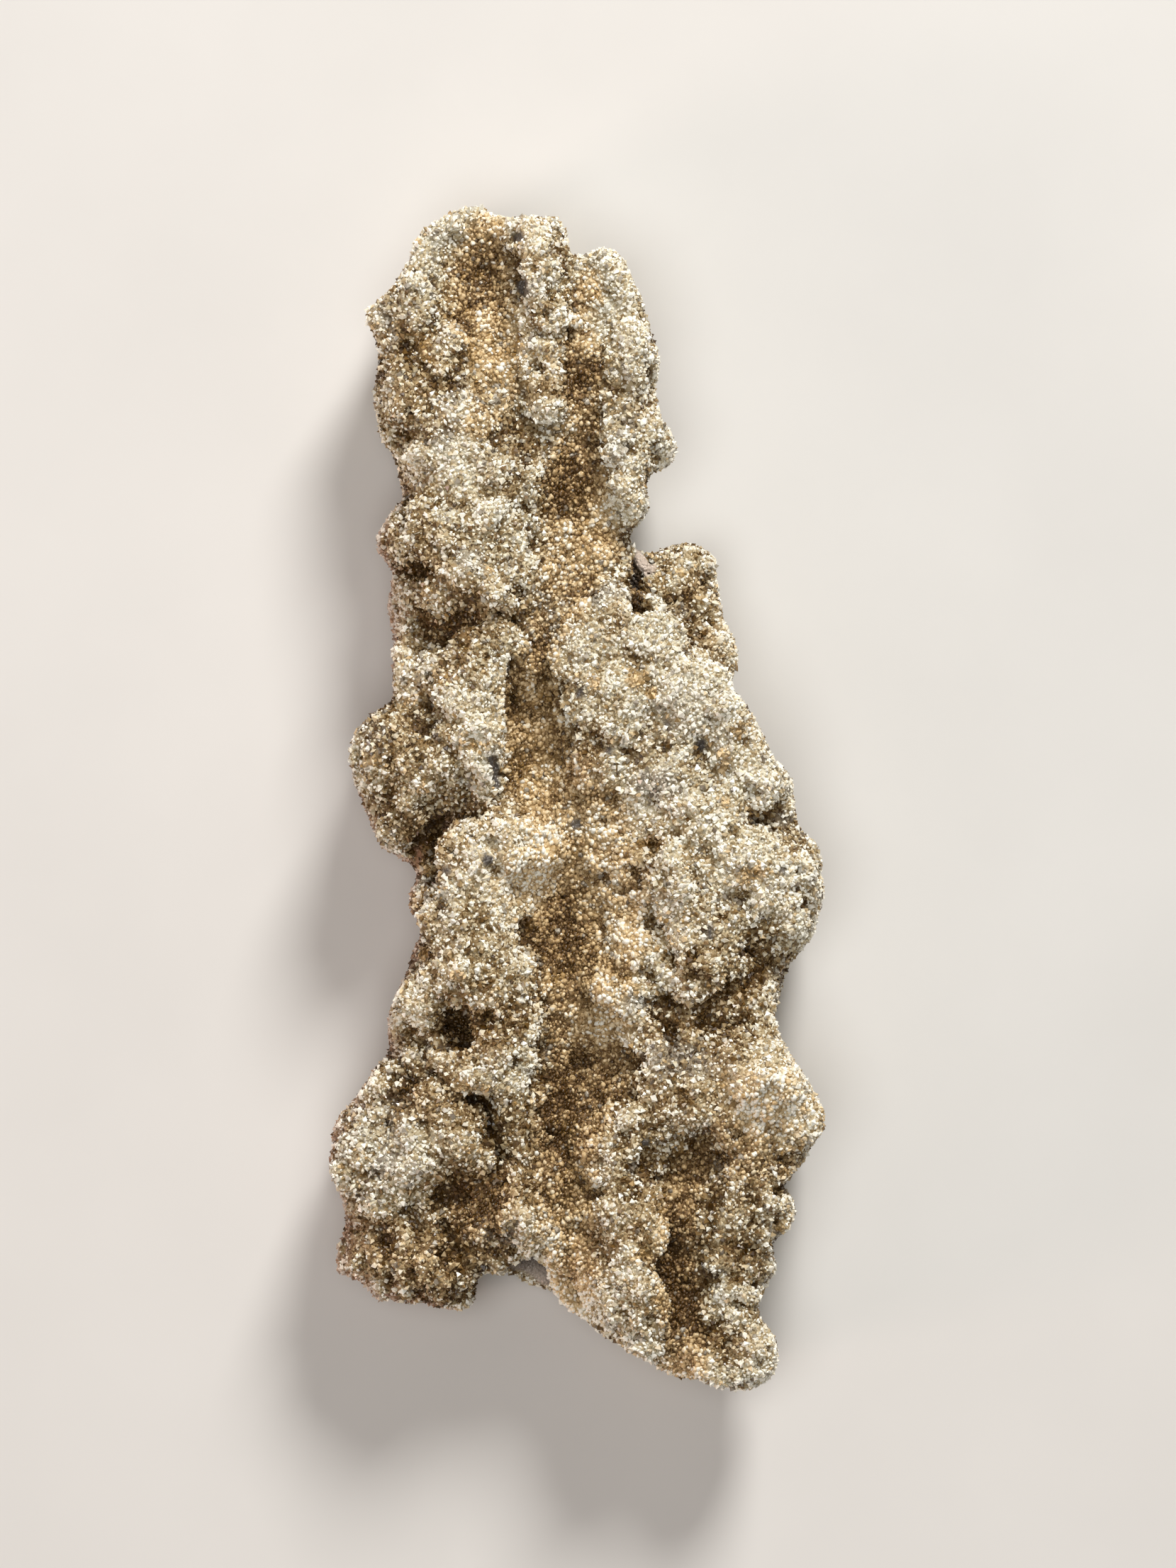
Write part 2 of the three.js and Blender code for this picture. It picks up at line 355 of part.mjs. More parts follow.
function surfaceNet(form, low, high, step) {
  const counts = [0, 1, 2].map((axis) => Math.ceil((high[axis] - low[axis]) / step) + 1);
  const strides = [1, counts[0], counts[0] * counts[1]];
  const at = (i, j, k) => i + j * strides[1] + k * strides[2];
  const place = (i, j, k) => [low[0] + i * step, low[1] + j * step, low[2] + k * step];
  const values = new Float64Array(counts[0] * counts[1] * counts[2]);
  for (let k = 0; k < counts[2]; k++)
    for (let j = 0; j < counts[1]; j++)
      for (let i = 0; i < counts[0]; i++) values[at(i, j, k)] = form(...place(i, j, k));

  // Fills the few nodes between inside nodes that would otherwise meet only across a diagonal, so that no edge
  // or vertex of the surface is shared by more than one sheet of it.
  const alike = (...ends) => ends.every((end) => values[end] < 0 === values[ends[0]] < 0);
  const fill = (...ends) => {
    const nearest = ends.reduce((a, b) => (Math.abs(values[a]) < Math.abs(values[b]) ? a : b));
    values[nearest] = -step * 0.02;
  };
  const [sx, sy, sz] = strides;
  const diagonals = [[0, sx + sy + sz], [sx, sy + sz], [sy, sx + sz], [sz, sx + sy]];
  for (let pass = 0, filled = 1; filled && pass < 20; pass++) {
    filled = 0;
    for (let k = 0; k < counts[2] - 1; k++)
      for (let j = 0; j < counts[1] - 1; j++)
        for (let i = 0; i < counts[0] - 1; i++) {
          const here = at(i, j, k);
          for (let axis = 0; axis < 3; axis++) {
            const [u, v] = [strides[(axis + 1) % 3], strides[(axis + 2) % 3]];
            const [a, b, c, d] = [here, here + u + v, here + u, here + v];
            if (!alike(a, b) || !alike(c, d) || alike(a, c)) continue;
            if (values[a] < 0) fill(c, d);
            else fill(a, b);
            filled++;
          }
          for (const ends of diagonals) {
            const [a, b] = ends.map((end) => here + end);
            const others = diagonals.filter((other) => other !== ends).flat().map((end) => here + end);
            if (!alike(a, b) || !alike(...others) || alike(a, others[0])) continue;
            if (values[a] < 0) fill(...others);
            else fill(a, b);
            filled++;
          }
        }
  }

  // The middle of the points where the surface crosses a cell's edges.
  function middle(i, j, k) {
    const sum = new THREE.Vector3();
    let crossings = 0;
    for (let corner = 0; corner < 8; corner++) {
      for (let axis = 0; axis < 3; axis++) {
        if (corner & (1 << axis)) continue;
        const start = [i + (corner & 1), j + ((corner >> 1) & 1), k + ((corner >> 2) & 1)];
        const a = values[at(...start)];
        const b = values[at(...start) + strides[axis]];
        if (a < 0 === b < 0) continue;
        const point = place(...start);
        point[axis] += (step * a) / (a - b);
        sum.add(new THREE.Vector3(...point));
        crossings++;
      }
    }
    return crossings ? sum.divideScalar(crossings) : null;
  }

  // Slides a vertex down the slope of the form onto the surface, and keeps it near its own cell.
  function settle(point, i, j, k) {
    const small = step * 0.05;
    const corner = new THREE.Vector3(...place(i, j, k));
    const floor = corner.clone().subScalar(step * 0.1);
    const roof = corner.clone().addScalar(step * 1.1);
    for (let pass = 0; pass < 2; pass++) {
      const { x, y, z } = point;
      const value = form(x, y, z);
      const slope = new THREE.Vector3(
        form(x + small, y, z) - form(x - small, y, z),
        form(x, y + small, z) - form(x, y - small, z),
        form(x, y, z + small) - form(x, y, z - small),
      ).divideScalar(2 * small);
      point.addScaledVector(slope, -value / Math.max(slope.lengthSq(), 0.25));
      point.clamp(floor, roof);
    }
    return point;
  }

  const positions = [];
  const vertexOf = new Int32Array(values.length).fill(-1);
  for (let k = 0; k < counts[2] - 1; k++)
    for (let j = 0; j < counts[1] - 1; j++)
      for (let i = 0; i < counts[0] - 1; i++) {
        const point = middle(i, j, k);
        if (!point) continue;
        settle(point, i, j, k);
        vertexOf[at(i, j, k)] = positions.length;
        positions.push(point);
      }

  const faces = [];
  for (let k = 1; k < counts[2] - 1; k++)
    for (let j = 1; j < counts[1] - 1; j++)
      for (let i = 1; i < counts[0] - 1; i++)
        for (let axis = 0; axis < 3; axis++) {
          const here = at(i, j, k);
          const inside = values[here] < 0;
          if (inside === values[here + strides[axis]] < 0) continue;
          const u = strides[(axis + 1) % 3];
          const v = strides[(axis + 2) % 3];
          const ring = [here, here - u, here - u - v, here - v].map((cell) => vertexOf[cell]);
          if (!inside) ring.reverse();
          const [a, b, c, d] = ring;
          const shorter = positions[a].distanceTo(positions[c]) < positions[b].distanceTo(positions[d]);
          faces.push(...(shorter ? [a, b, c, a, c, d] : [a, b, d, b, c, d]));
        }
  return { positions, faces };
}

// ---- The piece ---------------------------------------------------------------------------------------------

const MARGIN = 2.4 * MESH_STEP; // clear space round the form in the net
const { positions, faces } = surfaceNet(
  fulgurite,
  [-11.6 - MARGIN, -27.8 - MARGIN, -MARGIN],
  [11.6 + MARGIN, 27.8 + MARGIN, 10.5 + MARGIN],
  MESH_STEP,
);
// Its feet are worn flat on the surface that it rests on.
for (const point of positions) point.z = Math.max(point.z, 0);

const geometry = new THREE.BufferGeometry().setFromPoints(positions).setIndex(faces);
geometry.computeBoundingBox();
const centre = geometry.boundingBox.getCenter(new THREE.Vector3());
geometry.translate(-centre.x, -centre.y, 0);
geometry.computeVertexNormals();
const crust = new THREE.MeshStandardMaterial({ color: 0x8f7f66, roughness: 0.85, metalness: 0 });
const piece = new THREE.Mesh(geometry, crust);
piece.name = "fulgurite";

const group = new THREE.Group();
group.add(piece);

export default group;
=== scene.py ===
import math

import bpy
import numpy as np
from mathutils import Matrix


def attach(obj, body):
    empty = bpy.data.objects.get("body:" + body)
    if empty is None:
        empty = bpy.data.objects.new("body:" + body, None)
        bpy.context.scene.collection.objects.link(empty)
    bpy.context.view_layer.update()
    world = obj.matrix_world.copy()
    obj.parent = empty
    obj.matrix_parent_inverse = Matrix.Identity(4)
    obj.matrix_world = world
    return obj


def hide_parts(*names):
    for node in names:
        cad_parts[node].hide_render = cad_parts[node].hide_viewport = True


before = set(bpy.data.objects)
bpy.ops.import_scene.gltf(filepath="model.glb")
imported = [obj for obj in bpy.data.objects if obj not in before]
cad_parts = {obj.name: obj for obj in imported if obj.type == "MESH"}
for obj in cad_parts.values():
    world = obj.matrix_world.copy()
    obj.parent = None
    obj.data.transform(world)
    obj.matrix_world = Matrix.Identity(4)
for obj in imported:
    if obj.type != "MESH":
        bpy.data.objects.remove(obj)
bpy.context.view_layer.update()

import openvdb as vdb

# ---- The crust --------------------------------------------------------------------------------------------
# The tube's wall: quartz sand that the strike melted from the inside out. Its inner face is smooth grey
# glass, and its outside is a crust of half melted sand, drawn out into knobs and ridges. Worked as a solid
# field in millimetres, below 0 inside, in cells of CELL, then turned into one mesh.
MM = 0.001
CELL = 0.2
MARGIN = 12  # clear cells round the solid
BAND = 9.0  # cells beside the surface in which the distance to it is known
rng = np.random.default_rng(7)

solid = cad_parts["fulgurite"].data
solid.calc_loop_triangles()
corners = np.empty(len(solid.vertices) * 3, np.float32)
solid.vertices.foreach_get("co", corners)
corners = corners.reshape(-1, 3) / MM
top = corners[:, 2].max()
sides = np.empty(len(solid.loop_triangles) * 3, np.int32)
solid.loop_triangles.foreach_get("vertices", sides)
cells = vdb.createLinearTransform(voxelSize=CELL)
level = vdb.FloatGrid.createLevelSetFromPolygons(
    corners, triangles=sides.reshape(-1, 3).astype(np.uint32), transform=cells, halfWidth=BAND)
low = np.floor(corners.min(axis=0) / CELL).astype(int) - MARGIN
shape = np.ceil(corners.max(axis=0) / CELL).astype(int) + MARGIN - low
field = np.empty(shape, np.float32)
level.copyToArray(field, ijk=tuple(int(v) for v in low))
one_layer = (shape[0], shape[1], 1)
xs, ys, heights = ((np.arange(count) + start) * CELL for count, start in zip(shape, low))
heights = heights[None, None, :]
columns = np.stack(np.meshgrid(xs, ys, indexing="ij"), axis=-1).reshape(-1, 2)


def blurred(values, reach):
    """The field with its forms softened over this many mm, by three running means along each axis."""
    span = max(int(round(reach / CELL)), 1)
    width = 2 * span + 1
    for axis in range(3):
        margin = [(span + 1, span) if a == axis else (0, 0) for a in range(3)]
        count = values.shape[axis]
        for _ in range(3):
            total = np.cumsum(np.pad(values, margin, "edge"), axis, dtype=np.float64)
            ahead = np.take(total, range(width, width + count), axis)
            values = ((ahead - np.take(total, range(count), axis)) / width).astype(np.float32)
    return values


field = blurred(field, 0.2)
plain = field.copy()

# The furrows of the upper face, where loose sand lies: [x, y, half width] along each.
FURROWS = [
    [(0.2, 17.6, 0.8), (-0.1, 14.6, 1.5), (0.1, 12.0, 1.8), (-0.6, 9.6, 1.3), (-1.7, 7.4, 0.8),
     (-2.2, 5.0, 1.3), (-1.9, 1.8, 1.7), (-0.9, -1.6, 1.5), (-0.4, -5.2, 1.8), (0.3, -9.0, 1.8),
     (0.5, -12.7, 1.9), (-0.4, -15.8, 1.5), (-0.5, -19.6, 1.3), (-0.2, -23.6, 1.2)],
    [(-4.3, 26.6, 0.9), (-4.7, 24.9, 1.4), (-4.4, 22.4, 1.4), (-3.7, 19.9, 1.2), (-4.6, 17.6, 0.8)],
    [(0.6, 24.4, 0.7), (0.2, 20.6, 0.8), (0.2, 17.6, 0.8)],
    [(5.6, -17.0, 0.8), (4.7, -19.6, 0.8), (4.6, -22.6, 1.0), (5.2, -26.6, 1.1)],
]


def along(line, points):
    """The nearest place on a line to each point, seen from above: how far off it is, and what it carries."""
    best = np.full(len(points), np.inf)
    carried = np.zeros((len(points), len(line[0]) - 2))
    for here, there in zip(line[:-1], line[1:]):
        here, there = np.array(here), np.array(there)
        step = there[:2] - here[:2]
        share = np.clip(((points[:, :2] - here[:2]) @ step) / (step @ step), 0, 1)
        distance = np.linalg.norm(points[:, :2] - here[:2] - share[:, None] * step, axis=1)
        closer = distance < best
        best = np.where(closer, distance, best)
        carried[closer] = (here[2:] + share[:, None] * (there - here)[2:])[closer]
    return best, carried


def ramped(values, start, stop):
    """0 below start, 1 above stop and smooth between them."""
    share = np.clip((values - start) / (stop - start), 0, 1)
    return share * share * (3 - 2 * share)


def in_furrow(points, facing):
    """1 on the floor of a furrow and 0 away from it, at each point."""
    best = np.zeros(len(points))
    for line in FURROWS:
        distance, width = along(line, points)
        best = np.maximum(best, 1 - ramped(distance / width[:, 0], 0.7, 1.3))
    return best * ramped(facing[:, 2], -0.1, 0.3) * ramped(points[:, 2], 4.2, 5.2)


# Sand has partly filled the hollows of the upper face, in and beside the furrows and all over the narrow end.
filled = 0.3 * ramped(columns[:, 1], 12.5, 16.0)
for line in FURROWS:
    distance, width = along(line, columns)
    filled = np.maximum(filled, 0.4 * (1 - ramped(distance - width[:, 0], 0.4, 1.8)))
filled = filled.reshape(one_layer)
hollow = -blurred(np.clip(field, -2.0, 2.0), 0.8)
filled = (filled * ramped(heights, 4.5, 6.0) * ramped(hollow, -0.55, 0.1)).astype(np.float32)
field = field * (1 - filled) + (blurred(field, 0.8) - 0.1) * filled

# Edges that stand proud, and hollows: [x, y, radius, height over the face or depth below it] along each.
EDGES = [
    [(-3.0, -2.2, 1.3, 0.3), (-1.5, -2.8, 1.4, 0.5)],
    [(1.5, -8.6, 1.4, 0.3), (1.9, -10.8, 1.5, 0.5), (2.4, -13.8, 1.5, 0.3), (1.2, -16.8, 1.3, 0.3)],
    [(3.8, -8.2, 1.2, 0.2), (6.6, -8.4, 1.2, 0.4)],
    [(-6.4, 8.9, 1.4, 0.35), (-5.2, 8.6, 1.5, 0.45), (-4.2, 8.4, 1.3, 0.35)],
    [(-2.4, 6.6, 1.2, 0.4), (-2.3, 5.6, 1.3, 0.3)], [(-6.0, -18.0, 1.3, 0.3), (-5.0, -19.4, 1.2, 0.2)],
    [(4.9, -24.6, 1.2, 0.25), (5.6, -26.2, 1.1, 0.2)],
    [(-4.7, 6.2, 0.6, 0.2), (-4.6, 4.5, 0.7, 0.3), (-4.6, 2.0, 0.7, 0.3), (-4.5, 0.6, 0.6, 0.3)],
    [(-7.6, -12.9, 0.4, 0.2), (-6.8, -13.5, 0.35, 0.4), (-5.7, -13.3, 0.35, 0.45), (-4.7, -13.0, 0.4, 0.45),
     (-3.7, -13.5, 0.4, 0.4), (-3.3, -14.6, 0.35, 0.4), (-3.1, -16.2, 0.4, 0.3)],
    [(-7.0, 9.9, 0.9, 0.2), (-5.2, 10.4, 0.9, 0.3), (-3.8, 10.0, 0.9, 0.25)],
    [(2.7, 8.3, 0.5, 0.3), (3.9, 7.9, 0.5, 0.35), (4.4, 6.7, 0.6, 0.3), (5.6, 5.6, 0.7, 0.3),
     (7.0, 4.1, 0.8, 0.3)],
    [(5.6, -13.6, 0.9, 0.3), (7.4, -12.4, 0.9, 0.3), (8.8, -13.4, 0.9, 0.3)], [(5.4, -15.3, 0.8, 0.4)],
    [(2.2, -19.4, 0.9, 0.3), (2.6, -21.6, 0.9, 0.3), (3.3, -24.0, 0.8, 0.3)],
    [(4.2, -2.6, 0.7, 0.4), (4.7, -4.6, 0.8, 0.4), (5.8, -8.0, 0.6, 0.3)],
    [(-2.2, 25.9, 0.6, 0.2), (-1.9, 24.2, 0.5, 0.25), (-1.4, 22.6, 0.5, 0.3)],
    [(-8.2, -14.7, 1.0, 0.2), (-6.4, -14.9, 1.1, 0.35), (-5.2, -15.2, 1.0, 0.35)],
    [(-4.3, -16.8, 0.8, 0.35), (-4.2, -18.0, 1.0, 0.45), (-4.4, -19.6, 1.3, 0.45), (-4.6, -21.0, 1.2, 0.3)],
]
HOLLOWS = [
    [(-4.8, 25.0, 2.2, 0.3)], [(-2.6, 24.0, 0.45, 0.5)], [(-5.8, 26.5, 0.4, 0.4)], [(0.9, 24.6, 0.8, 0.15)],
    [(-8.4, 22.0, 0.9, 0.3), (-7.0, 21.8, 0.9, 0.3)], [(-7.9, 20.5, 1.3, 0.4)], [(-5.9, 19.4, 0.8, 0.4)],
    [(-8.2, 17.2, 0.8, 0.3)], [(1.5, 19.0, 1.6, 0.2)], [(-1.6, 17.0, 1.4, 0.2)], [(-7.4, 10.9, 0.9, 0.5)],
    [(5.2, 9.6, 0.7, 0.4)], [(-6.1, 11.4, 0.45, 0.4)], [(-3.5, 11.6, 0.45, 0.4)], [(-4.8, 13.4, 0.5, 0.35)],
    [(-2.6, 8.2, 0.6, 0.35)], [(0.7, 2.6, 0.6, 0.4), (1.7, 2.2, 0.5, 0.3)], [(4.2, 3.5, 0.6, 0.45)],
    [(5.8, 2.5, 0.55, 0.4)], [(-0.2, 5.0, 0.6, 0.35)],
    [(-7.1, -3.6, 0.9, 0.4), (-6.8, -2.0, 1.0, 0.6), (-6.0, -0.9, 0.8, 0.4), (-4.9, -0.4, 0.7, 0.35)],
    [(-8.5, -0.9, 0.8, 0.4)], [(8.9, -0.8, 0.7, 0.5)], [(7.8, -4.9, 0.8, 0.4)], [(-0.3, -5.6, 3.0, 0.2)],
    [(6.8, -10.0, 1.2, 0.25)], [(-5.9, -10.3, 0.7, 0.7), (-5.1, -10.8, 0.8, 0.9), (-5.4, -11.5, 0.8, 0.6)],
    [(-3.0, -9.7, 0.5, 0.4)], [(0.2, -12.8, 3.0, 0.2)], [(2.6, -13.9, 0.6, 0.35)],
    [(-9.4, -15.0, 0.6, 0.2), (-8.6, -14.4, 0.5, 0.25)],
    [(-5.0, -14.0, 0.4, 0.3), (-4.2, -14.3, 0.5, 0.45), (-3.9, -15.4, 0.5, 0.45), (-3.7, -16.6, 0.4, 0.3)],
    [(5.6, -17.0, 1.8, 0.15)], [(2.8, -17.4, 0.7, 0.4)], [(-4.0, -18.9, 0.5, 0.35)],
    [(-9.0, -20.9, 0.6, 0.35)], [(4.6, -22.0, 1.2, 0.2)],
]


def waves(size, seed):
    """Smooth unevenness between about -1 and 1 in bumps of this size in mm, one value for each cell."""
    draw = np.random.default_rng(seed)
    counts = [int(math.ceil(n * CELL / size)) + 2 for n in shape]
    values = draw.uniform(-1, 1, counts).astype(np.float32)
    for axis, n in enumerate(shape):
        spots = np.arange(n) * CELL / size
        start = spots.astype(int)
        share = spots - start
        share = (share * share * (3 - 2 * share)).astype(np.float32)
        share = share.reshape([-1 if a == axis else 1 for a in range(3)])
        values = np.take(values, start, axis) * (1 - share) + np.take(values, start + 1, axis) * share
    return values


ripple = 0.26 * waves(1.3, 21) + 0.14 * waves(0.7, 22)


def sculpt(centres, radii, width, sink=False):
    """Melts uneven balls onto the field, or sinks them into it, with a joint of this width."""
    for centre, radius in zip(centres, radii):
        spot = centre / CELL - low
        reach = (radius + width + 0.4) / CELL
        start = np.maximum(np.floor(spot - reach).astype(int), 0)
        stop = np.minimum(np.ceil(spot + reach).astype(int) + 1, shape)
        x, y, z = (np.arange(a, b) - c for a, b, c in zip(start, stop, spot))
        part = tuple(slice(a, b) for a, b in zip(start, stop))
        ball = np.sqrt(x[:, None, None] ** 2 + y[None, :, None] ** 2 + z[None, None, :] ** 2) * CELL - radius
        ball += ripple[part] * min(radius, 1.2)
        was = -field[part] if sink else field[part]
        near = np.maximum(width - np.abs(was - ball), 0) / width
        now = np.minimum(was, ball) - near * near * width / 4
        field[part] = -now if sink else now


def top_of(x, y):
    """Height of the upper face over a place."""
    column = tuple(np.round(np.array([x, y]) / CELL).astype(int) - low[:2])
    inside = np.flatnonzero(field[column] < 0)
    if not len(inside):
        return 0.0
    last = inside[-1]
    here, above = field[column][last], field[column][last + 1]
    return (last + here / (here - above) + low[2]) * CELL


def traced(line, step=0.35):
    """Places this far apart along a line of [x, y, ...]."""
    line = np.array(line, float)
    if len(line) == 1:
        return line
    runs = np.linalg.norm(np.diff(line[:, :2], axis=0), axis=1)
    far = np.concatenate([[0.0], np.cumsum(runs)])
    stops = np.linspace(0, far[-1], max(int(far[-1] / step), 1) + 1)
    return np.stack([np.interp(stops, far, column) for column in line.T], axis=1)


for lines, side in ((EDGES, 1), (HOLLOWS, -1)):
    for line in lines:
        places = traced(line)
        face = [top_of(x, y) for x, y in places[:, :2]]
        for (x, y, radius, height), z in zip(places, face):
            centre = np.array([x, y, z - side * (radius - height)])
            sculpt([centre], [radius], 0.15 + 0.4 * radius, sink=side < 0)

# The bore that the strike left: [x, y, z, half width, half height] along it.
BORE = [
    (-3.2, 29.5, 3.9, 2.5, 1.3), (-2.6, 24.0, 3.8, 2.3, 1.2), (-1.6, 18.0, 3.7, 2.1, 1.1),
    (0.3, 11.5, 3.6, 2.5, 1.1), (0.4, 8.5, 3.6, 2.5, 1.1), (-0.3, 1.0, 3.6, 2.3, 1.1),
    (0.8, -8.0, 3.6, 2.5, 1.1), (0.5, -17.0, 3.7, 3.0, 1.2), (-0.2, -23.0, 3.8, 3.5, 1.35),
    (-1.4, -29.5, 3.9, 4.0, 1.5),
]


def in_bore(points):
    """1 in the bore and at its wall, and 0 away from it, at each point."""
    across, carried = along(BORE, points)
    height, half_width, half_height = carried.T
    reach = np.hypot(across / half_width, (points[:, 2] - height) / half_height)
    return 1 - ramped(reach, 1.06, 1.16)


def surface(values, merged=0.0):
    """Points and triangles of the field's surface, in mm, with flat places merged by this share."""
    grid = vdb.FloatGrid(BAND * CELL)
    grid.copyFromArray(np.ascontiguousarray(values), ijk=tuple(int(v) for v in low))
    grid.transform = cells
    points, triangles, quads = grid.convertToPolygons(0.0, merged)
    triangles = np.concatenate([triangles, quads[:, (0, 1, 2)], quads[:, (0, 2, 3)]])[:, ::-1]
    return points.astype(np.float64), triangles.astype(np.int64)


def sampled(values, points):
    """The field's value at each point."""
    spots = points / CELL - low
    start = np.clip(np.floor(spots).astype(int), 0, shape - 2)
    share = spots - start
    total = np.zeros(len(points))
    for corner in range(8):
        step = np.array([corner & 1, corner >> 1 & 1, corner >> 2 & 1])
        weight = np.prod(np.where(step, share, 1 - share), axis=1)
        total += weight * values[tuple((start + step).T)]
    return total


def slopes(values, points):
    """Unit outward direction of the field at each point."""
    steps = np.eye(3) * (CELL * 0.75)
    ahead = np.stack([sampled(values, points + step) for step in steps], axis=1)
    behind = np.stack([sampled(values, points - step) for step in steps], axis=1)
    direction = ahead - behind
    return direction / np.maximum(np.linalg.norm(direction, axis=1, keepdims=True), 1e-6)


def scattered(points, triangles, tries, spacing, weight=None):
    """Spots spread over the surface, about this far apart, thinned from this many random ones."""
    a, b, c = (points[triangles[:, i]] for i in range(3))
    area = np.linalg.norm(np.cross(b - a, c - a), axis=1) / 2
    if weight is not None:
        area = area * weight((a + b + c) / 3)
    face = rng.choice(len(triangles), tries, p=area / area.sum())
    u, v = rng.random((2, tries, 1))
    u, v = np.where(u + v > 1, 1 - u, u), np.where(u + v > 1, 1 - v, v)
    spots = a[face] * (1 - u - v) + b[face] * u + c[face] * v
    for shift in (0.0, 0.5):
        key = np.floor(spots / spacing + shift).astype(int)
        spots = spots[np.sort(np.unique(key, axis=0, return_index=True)[1])]
    return rng.permutation(spots)


def sizes(count, least, more, skew):
    """Random sizes from the least upwards, with fewer large ones where skew is above 1."""
    return least + more * rng.random(count) ** skew


# Small knobs and pits of the melted crust, fewer in the furrows and none in the bore.
points, triangles = surface(field)
knob_at = scattered(points, triangles, tries=20000, spacing=0.85)
knob_facing = slopes(field, knob_at)
rough = 1 - 0.85 * in_furrow(knob_at, knob_facing)
keep = (rng.random(len(knob_at)) < rough) & (in_bore(knob_at) < 0.1)
knob_at, knob_facing = knob_at[keep], knob_facing[keep]
radii = sizes(len(knob_at), least=0.28, more=0.55, skew=2.5)
sculpt(knob_at - knob_facing * radii[:, None] * 0.5, radii, width=0.25)
pit_at = scattered(points, triangles, tries=9000, spacing=1.4)
pit_facing = slopes(field, pit_at)
keep = (rng.random(len(pit_at)) < 1 - in_furrow(pit_at, pit_facing)) & (in_bore(pit_at) < 0.1)
pit_at, pit_facing = pit_at[keep], pit_facing[keep]
radii = sizes(len(pit_at), least=0.25, more=0.3, skew=1.5)
sculpt(pit_at + pit_facing * radii[:, None] * 0.25, radii, width=0.2, sink=True)

# Its skin is lumpy at every size, with a crease between one lump and the next. It is smoother and a little
# fuller close to the top.
lumps = 0.36 * np.abs(waves(2.1, 11)) + 0.32 * np.abs(waves(1.2, 12)) + 0.18 * np.abs(waves(0.6, 13))
lumps = (0.2 - lumps) * (0.5 + 0.5 * ramped(waves(5.0, 14), -0.6, 0.4)) + 0.1 * waves(0.5, 15)
crown = ramped(heights, top - 1.6, top - 0.4)
field += lumps * (1 - 0.8 * crown) + 0.12 * crown

# Slits and gaps: in the break of the wall beside the stub, over the lower mouth and in the upper face:
# [x, y, z, radius] along each.
SLITS = [
    [(2.72, 11.0, 4.6, 0.14), (2.72, 10.2, 4.8, 0.25), (2.78, 9.6, 5.0, 0.34), (2.86, 8.9, 5.4, 0.32)],
    [(2.78, 9.9, 5.8, 0.34), (2.8, 9.3, 6.2, 0.36), (2.85, 8.75, 6.6, 0.36)],
    [(2.75, 9.5, 7.2, 0.36), (2.85, 8.8, 7.6, 0.38)], [(2.75, 9.3, 8.2, 0.4), (2.85, 8.8, 8.6, 0.42)],
    [(2.9, 12.0, 6.0, 0.35), (3.3, 11.2, 5.9, 0.3)],
    [(-2.1, -21.7, 6.6, 0.6), (-2.9, -22.3, 6.0, 0.55), (-1.8, -22.4, 6.2, 0.6)], [(-2.1, -21.5, 5.4, 0.6)],
    [(-2.9, 6.4, 8.4, 0.4), (-3.0, 4.0, 8.4, 0.45), (-3.05, 1.6, 8.2, 0.45)],
    [(-3.9, 1.9, 8.6, 0.3), (-3.75, 1.1, 8.5, 0.35), (-3.7, 0.4, 8.4, 0.3)], [(2.6, 1.5, 9.3, 0.22)],
]
# The smooth lip of the bore, which shows in that break, and the rough edges of the wall there and over the
# lower mouth, in the same way.
LIP = [
    (2.5, 12.4, 4.4, 0.2), (2.75, 11.7, 4.6, 0.22), (3.2, 10.9, 5.1, 0.26),
]
MOUTH_EDGE = [
    (-0.9, -21.3, 6.2, 0.5), (-0.9, -22.4, 5.8, 0.45), (-0.7, -23.2, 5.4, 0.45), (-0.3, -23.8, 5.2, 0.45),
    (0.5, -24.4, 5.2, 0.45), (1.3, -25.2, 5.3, 0.45), (2.4, -25.9, 5.4, 0.45), (3.7, -26.6, 5.2, 0.45),
    (4.8, -27.2, 4.8, 0.4),
]
BROKEN_EDGES = [
    [(3.5, 10.1, 5.2, 0.4), (3.6, 9.4, 5.3, 0.45), (3.6, 8.7, 5.3, 0.45)],
    [(1.75, 11.8, 5.6, 0.4), (1.95, 11.1, 5.8, 0.45), (1.95, 10.3, 6.2, 0.45), (2.0, 9.5, 6.7, 0.45)],
    MOUTH_EDGE,
]
